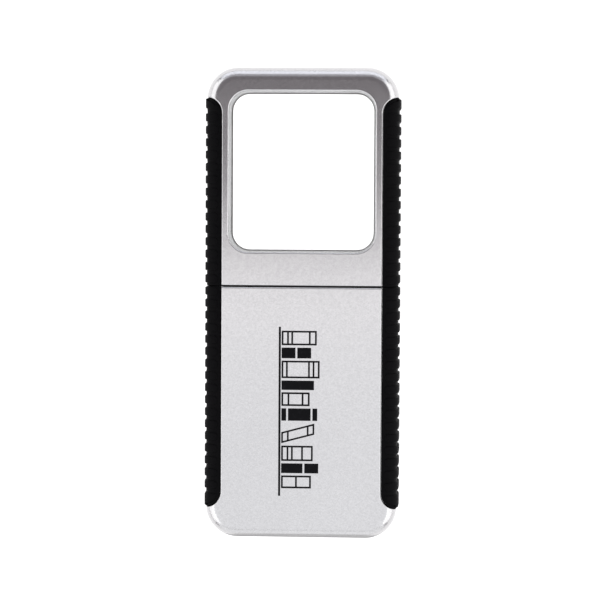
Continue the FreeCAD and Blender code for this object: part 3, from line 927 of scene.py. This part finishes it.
@dataclass
class Grip:
    """One rubber strip with its cross ribs and end pad."""

    side: Side
    body: Body
    node: str
    seam_y: float
    far_y: float
    rib_pitch: float
    ribs: int
    rib_root_y: float = 4.2
    inner_x: float = 18.82
    end_r: float = 3.58
    half_x: float = 22.4
    groove: float = 1.2
    rib_inset: float = 0.75
    rib_end_r: float = 0.9
    rib_gap: float = 0.95
    rib_length: float = 17.5
    edge_soft: float = 0.2
    skin: SideForm = SideForm(22.4, 0.28, 12.22, 3.0)
    crown: SideForm = SideForm(22.8, 0.0, 12.5, 3.4)
    core: SideForm = SideForm(21.05, 1.35, 11.15, 1.65)

    @property
    def way(self) -> int:
        """+1 if the strip runs towards the lens head's end, -1 if towards the handle's."""
        return 1 if self.far_y > self.seam_y else -1

    def build(self, rows: Grower) -> list[bpy.types.Object]:
        """Builds the strip, its ribs and its end pad.

        Args:
            rows: the tree that lays out rows.

        Returns:
            The objects.
        """
        strip = piece(self._strip(), RUBBER, self.body, self.node)
        inputs = {
            "Count": self.ribs,
            "Start": (0.0, (self.rib_root_y + self.way * self.rib_pitch / 2) * MM, 0.0),
            "Step": (0.0, self.way * self.rib_pitch * MM, 0.0),
        }
        rib_mesh = rows.grow(f"{self.node}_ribs", self._rib(), RUBBER, inputs)
        ribs = piece(rib_mesh, RUBBER, self.body)
        pad = piece(self._pad(), RUBBER, self.body)
        return [thing for thing in (strip, ribs, pad)]

    def _strip(self) -> bpy.types.Mesh:
        """The thin C-shaped strip, with soft edges."""
        lip = (0.0, 0.002, 0.006, 0.012, 0.02)
        shares = [*lip, *[0.02 + 0.96 * i / 60 for i in range(1, 60)], *[1 - s for s in reversed(lip)]]
        corner_y = self.far_y - self.way * self.end_r
        stations = []
        for t in (0.0, 0.03, 0.09, self.edge_soft):
            stations.append((self.seam_y + self.way * t, self.inner_x, max(0.0, self.edge_soft - t)))
        for i in range(1, 12):
            stations.append((self.seam_y + (corner_y - self.seam_y) * i / 12, self.inner_x, 0.0))
        for x_off, y_off in rounded(self.end_r, (180, 90), (0.0, 0.0), 14):
            stations.append((corner_y + self.way * y_off, self.half_x + x_off, 0.0))
        stations.append((self.far_y + self.way * 0.02, self.half_x - 0.02, self.edge_soft))
        rim = [1 - min(s, 1 - s, lip[-1]) / lip[-1] for s in shares]
        ends = [1 - math.sqrt(max(0.0, 1 - near**2)) for near in rim]
        points = []
        for y, start_x, sunk in stations:
            outer = self.skin.points(min(start_x, self.half_x - 0.01), shares)
            inner = self.core.points(min(start_x, self.core.half_x - 0.01), shares)
            for (ox, oz), (ix, iz), end in zip(outer, inner, ends):
                sink = max(0.16 * end, 0.7 * self._dip(sunk))
                points.append((self.side.value * (ox + (ix - ox) * sink), y, oz + (iz - oz) * sink))
            for ix, iz in reversed(inner):
                points.append((self.side.value * ix, y, iz))
        around = 2 * len(shares)
        faces = ring_faces(len(stations), around)
        for first in (0, (len(stations) - 1) * around):
            for j in range(len(shares) - 1):
                faces.append([first + j, first + j + 1, first + around - 2 - j, first + around - 1 - j])
        return mesh_from(self.node, points, faces, 50.0)

    def _dip(self, left: float) -> float:
        """How far a soft edge has dropped, as a share of the strip, with that much of it left."""
        return 0.15 * (1 - math.sqrt(max(0.0, 1 - (left / self.edge_soft) ** 2)))

    def _rib(self) -> bpy.types.Mesh:
        """One rib at y = 0: a bar with a soft top, wrapped round the side, with round ends.

        The section's points are shares of the half width and of the rib's height.
        """
        half = (self.rib_pitch - self.rib_gap) / 2
        flank = ((-1.0, -0.6), (-1.0, 0.0), (-0.97, 0.5), (-0.91, 0.82), (-0.8, 0.97), (-0.5, 1.0))
        section = (*flank, *[(-across, height) for across, height in reversed(flank)])
        start_x, length = self.inner_x + self.rib_inset, self.rib_length
        near_end = [0.0, 0.03, 0.1, 0.22, 0.38, 0.58, 0.8, 1.05]
        shares = [t / length for t in near_end]
        shares += [shares[-1] + (1 - 2 * shares[-1]) * i / 56 for i in range(1, 56)]
        shares += [1 - t / length for t in reversed(near_end)]
        base = self.skin.points(start_x, shares)
        crown = self.crown.points(start_x, shares)
        points = []
        for share, (bx, bz), (cx, cz) in zip(shares, base, crown):
            left = min(share, 1 - share) * length
            round_end = math.sqrt(max(0.0, 1 - (1 - min(left / self.rib_end_r, 1.0)) ** 2))
            for across, height in section:
                lift = height * (round_end if height > 0 else 1.0)
                x = self.side.value * (bx + (cx - bx) * lift)
                points.append((x, across * half * max(round_end, 0.02), bz + (cz - bz) * lift))
        return mesh_from(f"{self.node}_rib", points, tube_faces(len(shares), len(section)), 60.0)

    def _pad(self) -> bpy.types.Mesh:
        """The raised pad that fills the strip's round end."""
        first_y = self.rib_root_y + self.way * (self.rib_pitch * self.ribs + self.groove / 2)
        corner_y = self.far_y - self.way * self.end_r
        inset, radius = self.rib_inset, self.end_r - self.rib_inset
        rows: list[tuple[float, float, float]] = []
        for t, height in ((0.0, -0.6), (0.0, 0.0), (0.05, 0.42), (0.14, 0.76), (0.27, 0.95), (0.45, 1.0)):
            rows.append((first_y + self.way * t, self.inner_x + inset, height))
        for x_off, y_off in rounded(radius, (178, 96), (0.0, 0.0), 14):
            rows.append((corner_y + self.way * y_off, self.half_x + x_off, 1.0))
        limit = self.far_y - self.way * 0.1
        rows = [row for i, row in enumerate(rows) if i < 6 or self.way * (row[0] - first_y) > 0.5]
        for t, height in ((0.22, 1.0), (0.12, 0.9), (0.05, 0.6), (0.0, 0.0), (0.0, -0.6)):
            rows.append((limit - self.way * t, self.half_x - 0.08, height))
        lip = [0.0, 0.0, 0.003, 0.008, 0.016, 0.03, 0.05]
        drops = [-0.6, 0.0, 0.42, 0.76, 0.95, 1.0, 1.0]
        shares = [*lip, *[0.05 + 0.9 * i / 50 for i in range(1, 50)], *[1 - s for s in reversed(lip)]]
        lifts = [*drops, *([1.0] * 49), *reversed(drops)]
        points = []
        for y, start_x, height in rows:
            base = self.skin.points(min(start_x, self.half_x - 0.01), shares)
            crown = self.crown.points(min(start_x, self.half_x - 0.01), shares)
            for (bx, bz), (cx, cz), lift in zip(base, crown, lifts):
                rise = min(height, lift)
                points.append((self.side.value * (bx + (cx - bx) * rise), y, bz + (cz - bz) * rise))
        around = len(shares)
        faces = ring_faces(len(rows), around, False)
        return closed_below(f"{self.node}_pad", points, faces, 60.0)


def closed_below(
    name: str,
    points: Sequence[Point3],
    faces: Sequence[Sequence[int]],
    sharp_deg: float,
) -> bpy.types.Mesh:
    """A raised patch whose open, buried underside is filled in.

    Args:
        name: the mesh's name.
        points: its points in millimetres.
        faces: its faces.
        sharp_deg: edges that turn by more than this are kept crisp.

    Returns:
        The closed mesh.
    """
    mesh = mesh_from(name, points, faces, sharp_deg)
    work = bmesh.new()
    work.from_mesh(mesh)
    rim = [edge for edge in work.edges if edge.is_boundary]
    bmesh.ops.holes_fill(work, edges=rim, sides=0)
    bmesh.ops.recalc_face_normals(work, faces=work.faces)
    work.to_mesh(mesh)
    work.free()
    return mesh


# ---- the lens head ------------------------------------------------------------------------------
@dataclass
class Lens:
    """The biconvex lens, cut to a round-cornered rectangle, on its thin mounting rim."""

    middle_y: float = 30.65
    body_half: Point2 = (16.55, 18.18)
    body_r: float = 4.0
    rim_half: Point2 = (17.6, 19.4)
    rim_r: float = 5.2
    rim_z: Point2 = (5.6, 6.8)
    ball_r: float = 92.0
    thickness: float = 7.2
    rings: int = 26
    per_corner: int = 24
    edge_soft: float = 0.12

    def build(self) -> bpy.types.Object:
        """Builds the lens and takes the CAD lens's place."""
        thing = piece(self._mesh(), LENS_PLASTIC, Body.HEAD, "magnifying_lens")
        thing.visible_shadow = False
        return thing

    def _dome(self, x: float, y: float) -> float:
        """Half the lens's thickness at a place."""
        square = x * x + (y - self.middle_y) ** 2
        return self.thickness / 2 - self.ball_r + math.sqrt(self.ball_r**2 - square)

    def _outline(self, share: float, grow: float = 0.0) -> Profile:
        """The curved part's outline, shrunk to a share of its size.

        Args:
            share: the share, from 0 to 1.
            grow: how much wider it is, in millimetres.

        Returns:
            The points.
        """
        hx, hy = self.body_half[0] + grow, self.body_half[1] + grow
        whole = round_rect(hx, hy, self.body_r + grow, self.per_corner, 0.0)
        return [(x * share, self.middle_y + y * share) for x, y in whole]

    def _mesh(self) -> bpy.types.Mesh:
        """The lens as rings from the front's middle, over the rim, to the back's middle."""
        mid_z = sum(self.rim_z) / 2
        soft = self.edge_soft
        front: list[list[Point3]] = []
        for i in range(self.rings + 1):
            ring = self._outline(math.sqrt(i / self.rings) if i else 0.0, -soft)
            front.append([(x, y, mid_z + self._dome(x, y)) for x, y in ring])
        for angle in (30, 60, 90):
            drop = soft * (1 - math.cos(math.radians(angle)))
            ring = self._outline(1.0, -soft * (1 - math.sin(math.radians(angle))))
            front.append([(x, y, mid_z + self._dome(x, y) - drop) for x, y in ring])
        wall = self._outline(1.0)
        front.append([(x, y, self.rim_z[1]) for x, y in wall])
        rim = round_rect(*self.rim_half, self.rim_r, self.per_corner, self.middle_y)
        front.append([(x, y, self.rim_z[1]) for x, y in rim])
        back = [[(x, y, 2 * mid_z - z) for x, y, z in ring] for ring in reversed(front)]
        rings = front + back
        points = [point for ring in rings for point in ring]
        return mesh_from("magnifying_lens", points, ring_faces(len(rings), len(rim)), 35.0)


# ---- small hardware -----------------------------------------------------------------------------
@dataclass
class Screws:
    """Pan-headed screws with a cross recess, seen in their wells from the back."""

    head_r: float = 1.7
    head_h: float = 1.1
    shank_r: float = 0.8
    length: float = 9.4
    cross: Point3 = (1.05, 0.27, 0.62)
    thread: float = 0.14
    pitch: float = 0.5
    turns: int = 14

    def build(self, spots: Grower) -> list[bpy.types.Object]:
        """Lays out the head's and the handle's screws.

        Args:
            spots: the tree that puts copies on points.

        Returns:
            The objects.
        """
        groups = (
            ("head_screws", Body.HEAD, ((-13.5, 7.6, 0.2), (13.5, 7.6, 0.2))),
            (
                "case_screws",
                Body.HANDLE,
                ((-15.6, -4.0, 0.2), (15.6, -4.0, 0.2), (-11.0, -49.4, 1.8), (11.0, -49.4, 1.8)),
            ),
        )
        things = []
        for node, body, places in groups:
            mesh = spots.grow(node, self._screw(), ZINC, {"Seed": SEED}, places)
            things.append(piece(mesh, ZINC, body, node))
        return things

    def _screw(self) -> bpy.types.Mesh:
        """One screw pointing up, its head's face at z = 0, with a tapered cross cut into it."""
        dome = [(0.0, 0.0), (0.5, 0.01), (1.0, 0.07), (1.3, 0.17), (1.52, 0.32), (1.64, 0.5), (1.7, 0.72)]
        threads: Profile = []
        root_r = self.shank_r - self.thread
        for turn in range(self.turns):
            z = 1.4 + self.pitch * turn
            threads += [(root_r, z), (self.shank_r, z + 0.2), (self.shank_r, z + 0.26)]
        tip = [(root_r, 8.5), (0.3, self.length - 0.15), (0.0, self.length)]
        profile = [*dome, (self.head_r, self.head_h), (root_r, self.head_h), *threads, *tip]
        return cut_cross(lathe("screw", profile, Matrix.Identity(4), 40, 45.0), *self.cross)


def cut_cross(mesh: bpy.types.Mesh, reach: float, half: float, depth: float) -> bpy.types.Mesh:
    """Cuts a tapered cross recess into the low end of a screw that points up.

    Args:
        mesh: the screw, in place at the origin.
        reach: how far the arms reach, in millimetres.
        half: half their width.
        depth: how deep they go.

    Returns:
        The cut mesh.
    """
    solid = bpy.data.objects.new("uncut", mesh)
    bpy.context.scene.collection.objects.link(solid)
    cutters = []
    for along_x in (True, False):
        rings = []
        for z, share in ((-0.5, 1.25), (depth, 0.45)):
            a, b = (reach * share, half * (0.6 + 0.4 * share))
            hx, hy = (a, b) if along_x else (b, a)
            rings += [(hx, hy, z), (-hx, hy, z), (-hx, -hy, z), (hx, -hy, z)]
        cutter = bpy.data.objects.new("arm", mesh_from("arm", rings, tube_faces(2, 4), 10.0))
        bpy.context.scene.collection.objects.link(cutter)
        cut = solid.modifiers.new("cut", "BOOLEAN")
        cut.object = cutter
        cut.solver = "EXACT"
        cutters.append(cutter)
    graph = bpy.context.evaluated_depsgraph_get()
    result = bpy.data.meshes.new_from_object(solid.evaluated_get(graph))
    result.name = mesh.name
    solid.modifiers.clear()
    for thing in (solid, *cutters):
        bpy.data.objects.remove(thing)
    result.set_sharp_from_angle(angle=math.radians(40))
    return result


@dataclass
class Lamp:
    """The 3 mm lamp, tilted towards the page: a clear domed body, a chip in its cup, and a post."""

    tip: Point3 = (0.0, 3.3, 1.36)
    tilt_deg: float = 22.0
    radius: float = 1.5
    flange_r: float = 1.85
    length: float = 5.3

    @property
    def place(self) -> Matrix:
        """Puts the lamp's own axis, base at 0 and tip at +Z, in its holder."""
        turn = Matrix.Rotation(math.radians(-90 - self.tilt_deg), 4, "X")
        base = Vector(self.tip) - (turn @ Vector((0, 0, 1))) * self.length
        return Matrix.Translation(base) @ turn

    def build(self) -> list[bpy.types.Object]:
        """Builds the clear body and what is cast into it."""
        body = piece(self._body(), LAMP_RESIN, Body.HANDLE, "led_lamp")
        body.visible_shadow = False
        cup = piece(self._cup(), TIN, Body.HANDLE)
        chip = piece(self._chip(), PHOSPHOR, Body.HANDLE)
        return [body, cup, chip]

    def _body(self) -> bpy.types.Mesh:
        """The clear domed body on its flange."""
        top = self.length - self.radius
        dome = rounded(self.radius, (0, 90), (0.0, top), 12)
        flange = [(0.0, 0.0), (self.flange_r - 0.08, 0.0), (self.flange_r, 0.08), (self.flange_r, 0.92)]
        profile = [*flange, (self.flange_r - 0.08, 1.0), (self.radius, 1.0), *dome]
        profile[-1] = (0.0, self.length)
        return lathe("led_lamp", profile, self.place, 48)

    def _cup(self) -> bpy.types.Mesh:
        """The reflector cup on its post."""
        post = [(0.0, 0.3), (0.22, 0.3), (0.22, 1.7)]
        cup = [(0.4, 1.9), (0.62, 2.5), (0.55, 2.5), (0.3, 2.1), (0.0, 2.1)]
        return lathe("led_cup", post + cup, self.place, 32)

    def _chip(self) -> bpy.types.Mesh:
        """The chip under its phosphor."""
        profile = [(0.0, 2.12), (0.32, 2.12), (0.5, 2.42), (0.3, 2.56), (0.0, 2.6)]
        return lathe("led_chip", profile, self.place, 32)


@dataclass
class CoinCell:
    """The 20 mm cell, can side down, with a raised plus sign that shows when the door is off."""

    middle: Point2 = (0.0, -34.0)
    low: float = 1.75
    radius: float = 10.0
    thickness: float = 3.2
    plus_reach: float = 2.2
    plus_half: float = 0.3

    def build(self) -> list[bpy.types.Object]:
        """Builds the cell and its plus sign."""
        place = Matrix.Translation((*self.middle, self.low))
        high = self.thickness
        can = [(0.0, 0.0), (8.9, 0.0), (9.1, 0.03), *rounded(0.4, (-90, 0), (self.radius - 0.4, 0.4), 6)]
        lip = [(self.radius, 2.45), (9.93, 2.66), (9.7, 2.75), (9.2, 2.72), (9.0, 2.62), (8.75, 2.62)]
        cap = [(8.7, 2.7), *rounded(0.3, (0, 90), (8.4, high - 0.3), 5), (0.0, high)]
        cell = piece(lathe("coin_cell", [*can, *lip, *cap], place, 128), CELL, Body.HANDLE, "coin_cell")
        plus = piece(self._plus(), CELL, Body.HANDLE)
        return [cell, plus]

    def _plus(self) -> bpy.types.Mesh:
        """A low raised plus sign on the can's face."""
        a, b = self.plus_reach, self.plus_half
        outline = []
        for ax, ay in ((1, 0), (0, 1), (-1, 0), (0, -1)):
            arm = ((a, -b), (a, b), (b, b))
            outline += [(x * ax - y * ay, x * ay + y * ax) for x, y in arm]
        points = []
        for z, inset in ((self.low + 0.05, 1.0), (self.low - 0.04, 0.94)):
            points += [(self.middle[0] + x * inset, self.middle[1] + y * inset, z) for x, y in outline]
        count = len(outline)
        return mesh_from("cell_plus", points, tube_faces(2, count), 20.0)


@dataclass
class Electronics:
    """The board, its resistor and solder, the contacts and the lamp's legs and holder."""

    resistor_at: Point3 = (7.0, -9.0, 3.9)
    lead_spots: tuple[Point2, ...] = ((-0.64, -4.4), (0.64, -4.4), (4.05, -9.0), (9.95, -9.0))
    board_top: float = 6.2
    leg_r: float = 0.24
    leg_reach: float = 2.95
    leg_rise: float = 1.6
    bend_r: float = 0.5
    dressed: tuple[tuple[str, Finish, str], ...] = (
        ("circuit_board", GREEN_BOARD, "board"),
        ("led_leads", TIN, "tinned_wire"),
        ("led_holder", BLACK_PLASTIC, "black_plastic"),
        ("negative_contact", PLATED_SPRING, "contact_metal"),
        ("positive_contact", PLATED_SPRING, "contact_metal"),
        ("switch_contacts", PLATED_SPRING, "contact_metal"),
        ("switch_shunt", PLATED_SPRING, "contact_metal"),
    )

    def build(self, spots: Grower) -> list[bpy.types.Object]:
        """Builds and dresses the electrical parts.

        Args:
            spots: the tree that puts copies on points.

        Returns:
            The objects.
        """
        things = [dress(*row) for row in self.dressed]
        resistor = piece(self._resistor(), RESISTOR_LACQUER, Body.HANDLE, "resistor")
        legs = piece(self._resistor_legs(), TIN, Body.HANDLE)
        places = [(x, y, self.board_top) for x, y in self.lead_spots]
        solder = spots.grow("solder_joints", self._solder(), TIN, {"Seed": SEED}, places)
        joints = piece(solder, TIN, Body.HANDLE)
        return [*things, resistor, legs, joints]

    def _resistor(self) -> bpy.types.Mesh:
        """The resistor's barrel with its two swollen ends."""
        cap = [(0.0, -1.9), (0.5, -1.88), (0.85, -1.72), (0.95, -1.4), (0.93, -1.0), (0.8, -0.78)]
        profile = [*cap, *[(r, -h) for r, h in reversed(cap)]]
        place = Matrix.Translation(self.resistor_at) @ Matrix.Rotation(math.radians(90), 4, "Y")
        return lathe("resistor", profile, place, 40, 60.0)

    def _resistor_legs(self) -> bpy.types.Mesh:
        """The resistor's wire, straight through and bent up at both ends, as one bent bar."""
        x, y, z = self.resistor_at
        bend, inner, top = self.bend_r, self.leg_reach - self.bend_r, z + self.leg_rise
        line = [(x - self.leg_reach, top), (x - self.leg_reach, z + bend)]
        line += rounded(bend, (180, 270), (x - inner, z + bend), 6)
        line += rounded(bend, (270, 360), (x + inner, z + bend), 6) + [(x + self.leg_reach, top)]
        across, around = Vector((0, 1, 0)), 12
        points = []
        for i, (px, pz) in enumerate(line):
            before, after = line[max(i - 1, 0)], line[min(i + 1, len(line) - 1)]
            run = Vector((after[0] - before[0], 0.0, after[1] - before[1])).normalized()
            out = run.cross(across)
            for step in range(around):
                angle = 2 * math.pi * step / around
                spoke = out * math.cos(angle) + across * math.sin(angle)
                points.append(tuple(Vector((px, y, pz)) + spoke * self.leg_r))
        return mesh_from("resistor_legs", points, tube_faces(len(line), around), 50.0)

    def _solder(self) -> bpy.types.Mesh:
        """One small cone of solder on the board."""
        foot = [(0.0, -0.02), (0.62, -0.02), (0.6, 0.03), (0.42, 0.1)]
        cone = [(0.3, 0.24), (0.2, 0.34), (0.0, 0.38)]
        return lathe("solder", foot + cone, Matrix.Identity(4), 24, 60.0)


# ---- the silver case and its print --------------------------------------------------------------
@dataclass
class Case:
    """The silver mouldings, the battery door, the tongue between them and the lens's gasket."""

    dressed: tuple[tuple[str, Finish, str], ...] = (
        ("head_front_frame", SILVER, "head_silver"),
        ("head_back_frame", SILVER, "head_silver"),
        ("handle_front_shell", SILVER, "handle_silver"),
        ("handle_back_shell", SILVER, "handle_silver"),
        ("battery_door", SILVER, "handle_silver"),
        ("slide_tongue", BLACK_PLASTIC, "black_plastic"),
        ("lens_gasket", FOAM, "gasket_foam"),
    )

    def build(self) -> list[bpy.types.Object]:
        """Dresses the case's CAD nodes."""
        return [dress(*row) for row in self.dressed]


@dataclass(frozen=True)
class Spine:
    """One book's back on the printed shelf."""

    width: float
    height: float
    bands: tuple[float, ...] = ()
    solid: bool = False
    lean_deg: float = 0.0


@dataclass
class ShelfPrint:
    """A plain pictogram of books on a shelf, printed along the handle with its top towards +X."""

    face_z: float = 12.5
    film: float = 0.02
    shelf_x: float = -4.7
    shelf_board: float = 0.5
    shelf_length: float = 39.6
    margin: float = 0.9
    foot_gap: float = 0.18
    top_y: float = -5.4
    gap: float = 0.55
    line: float = 0.42
    spines: tuple[Spine, ...] = (
        Spine(3.4, 8.2, (0.18, 0.3, 0.8)),
        Spine(2.5, 6.9, (0.5,), True),
        Spine(4.1, 8.9, (0.14, 0.72, 0.84)),
        Spine(2.2, 7.6, (), True),
        Spine(3.2, 6.6, (0.25, 0.75)),
        Spine(2.9, 8.4, (0.16, 0.84), True),
        Spine(2.6, 8.0, (0.2, 0.8), False, 15.0),
        Spine(3.6, 7.4, (0.2, 0.34, 0.66)),
        Spine(2.3, 8.7, (0.6,), True),
        Spine(3.0, 7.0, (0.5,)),
    )

    def build(self) -> bpy.types.Object:
        """Builds the print as one thin film."""
        near_x, far_y = self.shelf_x - self.shelf_board, self.top_y - self.shelf_length
        quads = [[(near_x, self.top_y), (self.shelf_x, self.top_y), (self.shelf_x, far_y), (near_x, far_y)]]
        y = self.top_y - self.margin
        for spine in self.spines:
            y -= math.tan(math.radians(spine.lean_deg)) * spine.height
            quads += self._spine(spine, y)
            y -= spine.width + self.gap
        points: list[Point3] = []
        faces: list[list[int]] = []
        for quad in quads:
            first = len(points)
            points += [(x, y, self.face_z - self.film) for x, y in quad]
            points += [(x, y, self.face_z + self.film) for x, y in quad]
            faces += [[first + i for i in face] for face in tube_faces(2, 4)]
        return piece(mesh_from("shelf_print", points, faces, 20.0), INK, Body.HANDLE)

    def _spine(self, spine: Spine, y: float) -> list[list[Point2]]:
        """The inked bars of one book.

        Args:
            spine: the book.
            y: its near side at the shelf.

        Returns:
            The bars' corners.
        """
        foot, width, height, line = self.shelf_x + self.foot_gap, spine.width, spine.height, self.line
        shapes: list[tuple[float, float, float, float]] = []
        if spine.solid:
            cuts = [0.0, *[b * height for b in spine.bands], height]
            for low, high in zip(cuts, cuts[1:]):
                below = line / 2 if low else 0.0
                above = line / 2 if high < height else 0.0
                shapes.append((0.0, width, low + below, high - above))
        else:
            shapes += [(0.0, line, 0.0, height), (width - line, width, 0.0, height)]
            shapes += [(line, width - line, 0.0, line), (line, width - line, height - line, height)]
            middles = [band * height for band in spine.bands]
            shapes += [(line, width - line, at - line / 2, at + line / 2) for at in middles]
        turn = math.radians(spine.lean_deg)
        rise, shift = math.cos(turn), math.sin(turn)
        bars = []
        for a, b, low, high in shapes:
            corners = ((a, low), (a, high), (b, high), (b, low))
            bars.append([(foot + up * rise, y - along + up * shift) for along, up in corners])
        return bars


# ---- the stage ----------------------------------------------------------------------------------
class Lights(Enum):
    """What a panel lights."""

    GLASS = "EXCLUDE"
    FLOOR = "INCLUDE"


@dataclass
class Panel:
    """One soft light panel."""

    name: str
    at: Point3
    size: Point2
    radiance: float
    colour: Colour = (1.0, 1.0, 1.0)
    aim: Point3 = (0.0, 0.0, 0.0)
    lights: Lights = Lights.GLASS

    def build(self, floor: bpy.types.Object) -> None:
        """Hangs the panel, out of the camera's own sight.

        Args:
            floor: the floor, which the panel lights alone or leaves out.
        """
        data = bpy.data.lights.new(self.name, "AREA")
        data.shape = "RECTANGLE"
        data.size, data.size_y = self.size
        data.energy = self.radiance * math.pi * self.size[0] * self.size[1]
        data.color = self.colour
        lamp = bpy.data.objects.new(self.name, data)
        lamp.location = self.at
        way = Vector(self.aim) - Vector(self.at)
        lamp.rotation_euler = way.to_track_quat("-Z", "Y").to_euler()
        lamp.visible_camera = False
        bpy.context.scene.collection.objects.link(lamp)
        group = bpy.data.collections.new(f"{self.name}_lights")
        group.objects.link(floor)
        group.collection_objects[0].light_linking.link_state = self.lights.value
        lamp.light_linking.receiver_collection = group


@dataclass
class Studio:
    """The pale floor, the room's glow, the panels and the camera."""

    floor_half: float = 2.5
    glow: Colour = (0.205, 0.185, 0.197)
    distance: float = 0.60
    toward_right_deg: float = 3.8
    toward_head_deg: float = 2.8
    roll_deg: float = 0.3
    frame_width: float = 0.1397
    target: Point3 = (-0.00029, 0.00088, 0.0125)
    panels: tuple[Panel, ...] = (
        Panel("over_floor", (0.533, 0.392, 8.0), (0.32, 0.32), 2460.0, lights=Lights.FLOOR),
        Panel("over_seam", (0.0, -0.003, 0.25), (0.6, 0.024), 1.66, (1.0, 0.98, 0.985), (0.0, -0.003, 0.0)),
        Panel(
            "over_handle",
            (0.0, -0.1775, 0.25),
            (0.6, 0.325),
            0.96,
            (0.975, 0.995, 1.01),
            (0.0, -0.1775, 0.0),
        ),
        Panel("left", (-0.60, 0.0, 0.30), (1.2, 0.56), 1.4),
        Panel("right", (0.60, 0.0, 0.30), (1.2, 0.56), 1.5),
        Panel("far", (0.0, 0.80, 0.25), (1.4, 0.44), 1.25, (0.93, 0.96, 1.03)),
        Panel("far_high", (0.0, 0.62, 0.55), (1.4, 0.34), 0.3, (0.93, 0.96, 1.03)),
        Panel("near", (0.0, -0.80, 0.27), (1.4, 0.54), 1.0, (0.97, 0.99, 1.0)),
    )

    def build(self) -> None:
        """Sets the whole stage."""
        floor = self._floor()
        self._room()
        for panel in self.panels:
            panel.build(floor)
        self._camera()

    def _floor(self) -> bpy.types.Object:
        """A wide pale floor just under the glass."""
        signs = ((-1, -1), (1, -1), (1, 1), (-1, 1))
        corners = [(x * self.floor_half, y * self.floor_half, 0) for x, y in signs]
        mesh = bpy.data.meshes.new("floor")
        mesh.from_pydata(corners, [], [(0, 1, 2, 3)])
        mesh.materials.append(PAPER.material())
        floor = bpy.data.objects.new("floor", mesh)
        bpy.context.scene.collection.objects.link(floor)
        return floor

    def _room(self) -> None:
        """A dim room for what the glass reflects, and white for what the camera sees past the floor."""
        world = bpy.data.worlds.new("room")
        bpy.context.scene.world = world
        world.use_nodes = True
        tree = world.node_tree
        tree.nodes.clear()
        path = tree.nodes.new("ShaderNodeLightPath")
        dim, white = tree.nodes.new("ShaderNodeBackground"), tree.nodes.new("ShaderNodeBackground")
        dim.inputs["Color"].default_value = (*self.glow, 1.0)
        mix, end = tree.nodes.new("ShaderNodeMixShader"), tree.nodes.new("ShaderNodeOutputWorld")
        tree.links.new(path.outputs["Is Camera Ray"], mix.inputs[0])
        tree.links.new(dim.outputs[0], mix.inputs[1])
        tree.links.new(white.outputs[0], mix.inputs[2])
        tree.links.new(mix.outputs[0], end.inputs["Surface"])
        white.inputs["Color"].default_value = (1.0, 1.0, 1.0, 1.0)

    def _camera(self) -> None:
        """A camera over the front face, a few degrees towards +X."""
        data = bpy.data.cameras.new("camera")
        data.sensor_width = 36.0
        data.lens = data.sensor_width * self.distance / self.frame_width
        data.clip_start = 0.01
        camera = bpy.data.objects.new("camera", data)
        side, ahead = math.radians(self.toward_right_deg), math.radians(self.toward_head_deg)
        turn = Matrix.Rotation(side, 4, "Y") @ Matrix.Rotation(-ahead, 4, "X")
        turn = turn @ Matrix.Rotation(math.radians(self.roll_deg), 4, "Z")
        back = turn @ Vector((0.0, 0.0, self.distance))
        camera.matrix_world = Matrix.Translation(Vector(self.target) + back) @ turn
        bpy.context.scene.collection.objects.link(camera)
        bpy.context.scene.camera = camera
        bpy.context.scene.view_settings.view_transform = "Standard"


def grips() -> list[Grip]:
    """The four rubber strips."""
    strips = []
    for side in Side:
        name = side.name.lower()
        strips.append(Grip(side, Body.HEAD, f"head_grip_{name}", 4.06, 47.83, 2.895, 14))
        strips.append(Grip(side, Body.HANDLE, f"handle_grip_{name}", 3.94, -47.83, 2.84, 17))
    return strips


def report(name: str, things: Sequence[bpy.types.Object]) -> None:
    """Logs what a builder made.

    Args:
        name: the sub-assembly's name.
        things: its objects.
    """
    faces = sum(len(thing.data.polygons) for thing in things)
    log.info("%s: %d pieces, %d faces", name, len(things), faces)


def main() -> None:
    """Builds every sub-assembly and the stage, in order."""
    logging.basicConfig(level=logging.INFO, format="%(message)s")
    rows, spots = Grower(Repeat.ROW), Grower(Repeat.SPOTS)
    report("case", Case().build())
    for grip in grips():
        report(grip.node, grip.build(rows))
    report("lens", [Lens().build()])
    report("screws", Screws().build(spots))
    report("lamp", Lamp().build())
    report("coin cell", CoinCell().build())
    report("electronics", Electronics().build(spots))
    report("shelf print", [ShelfPrint().build()])
    Studio().build()


if __name__ == "__main__":
    main()
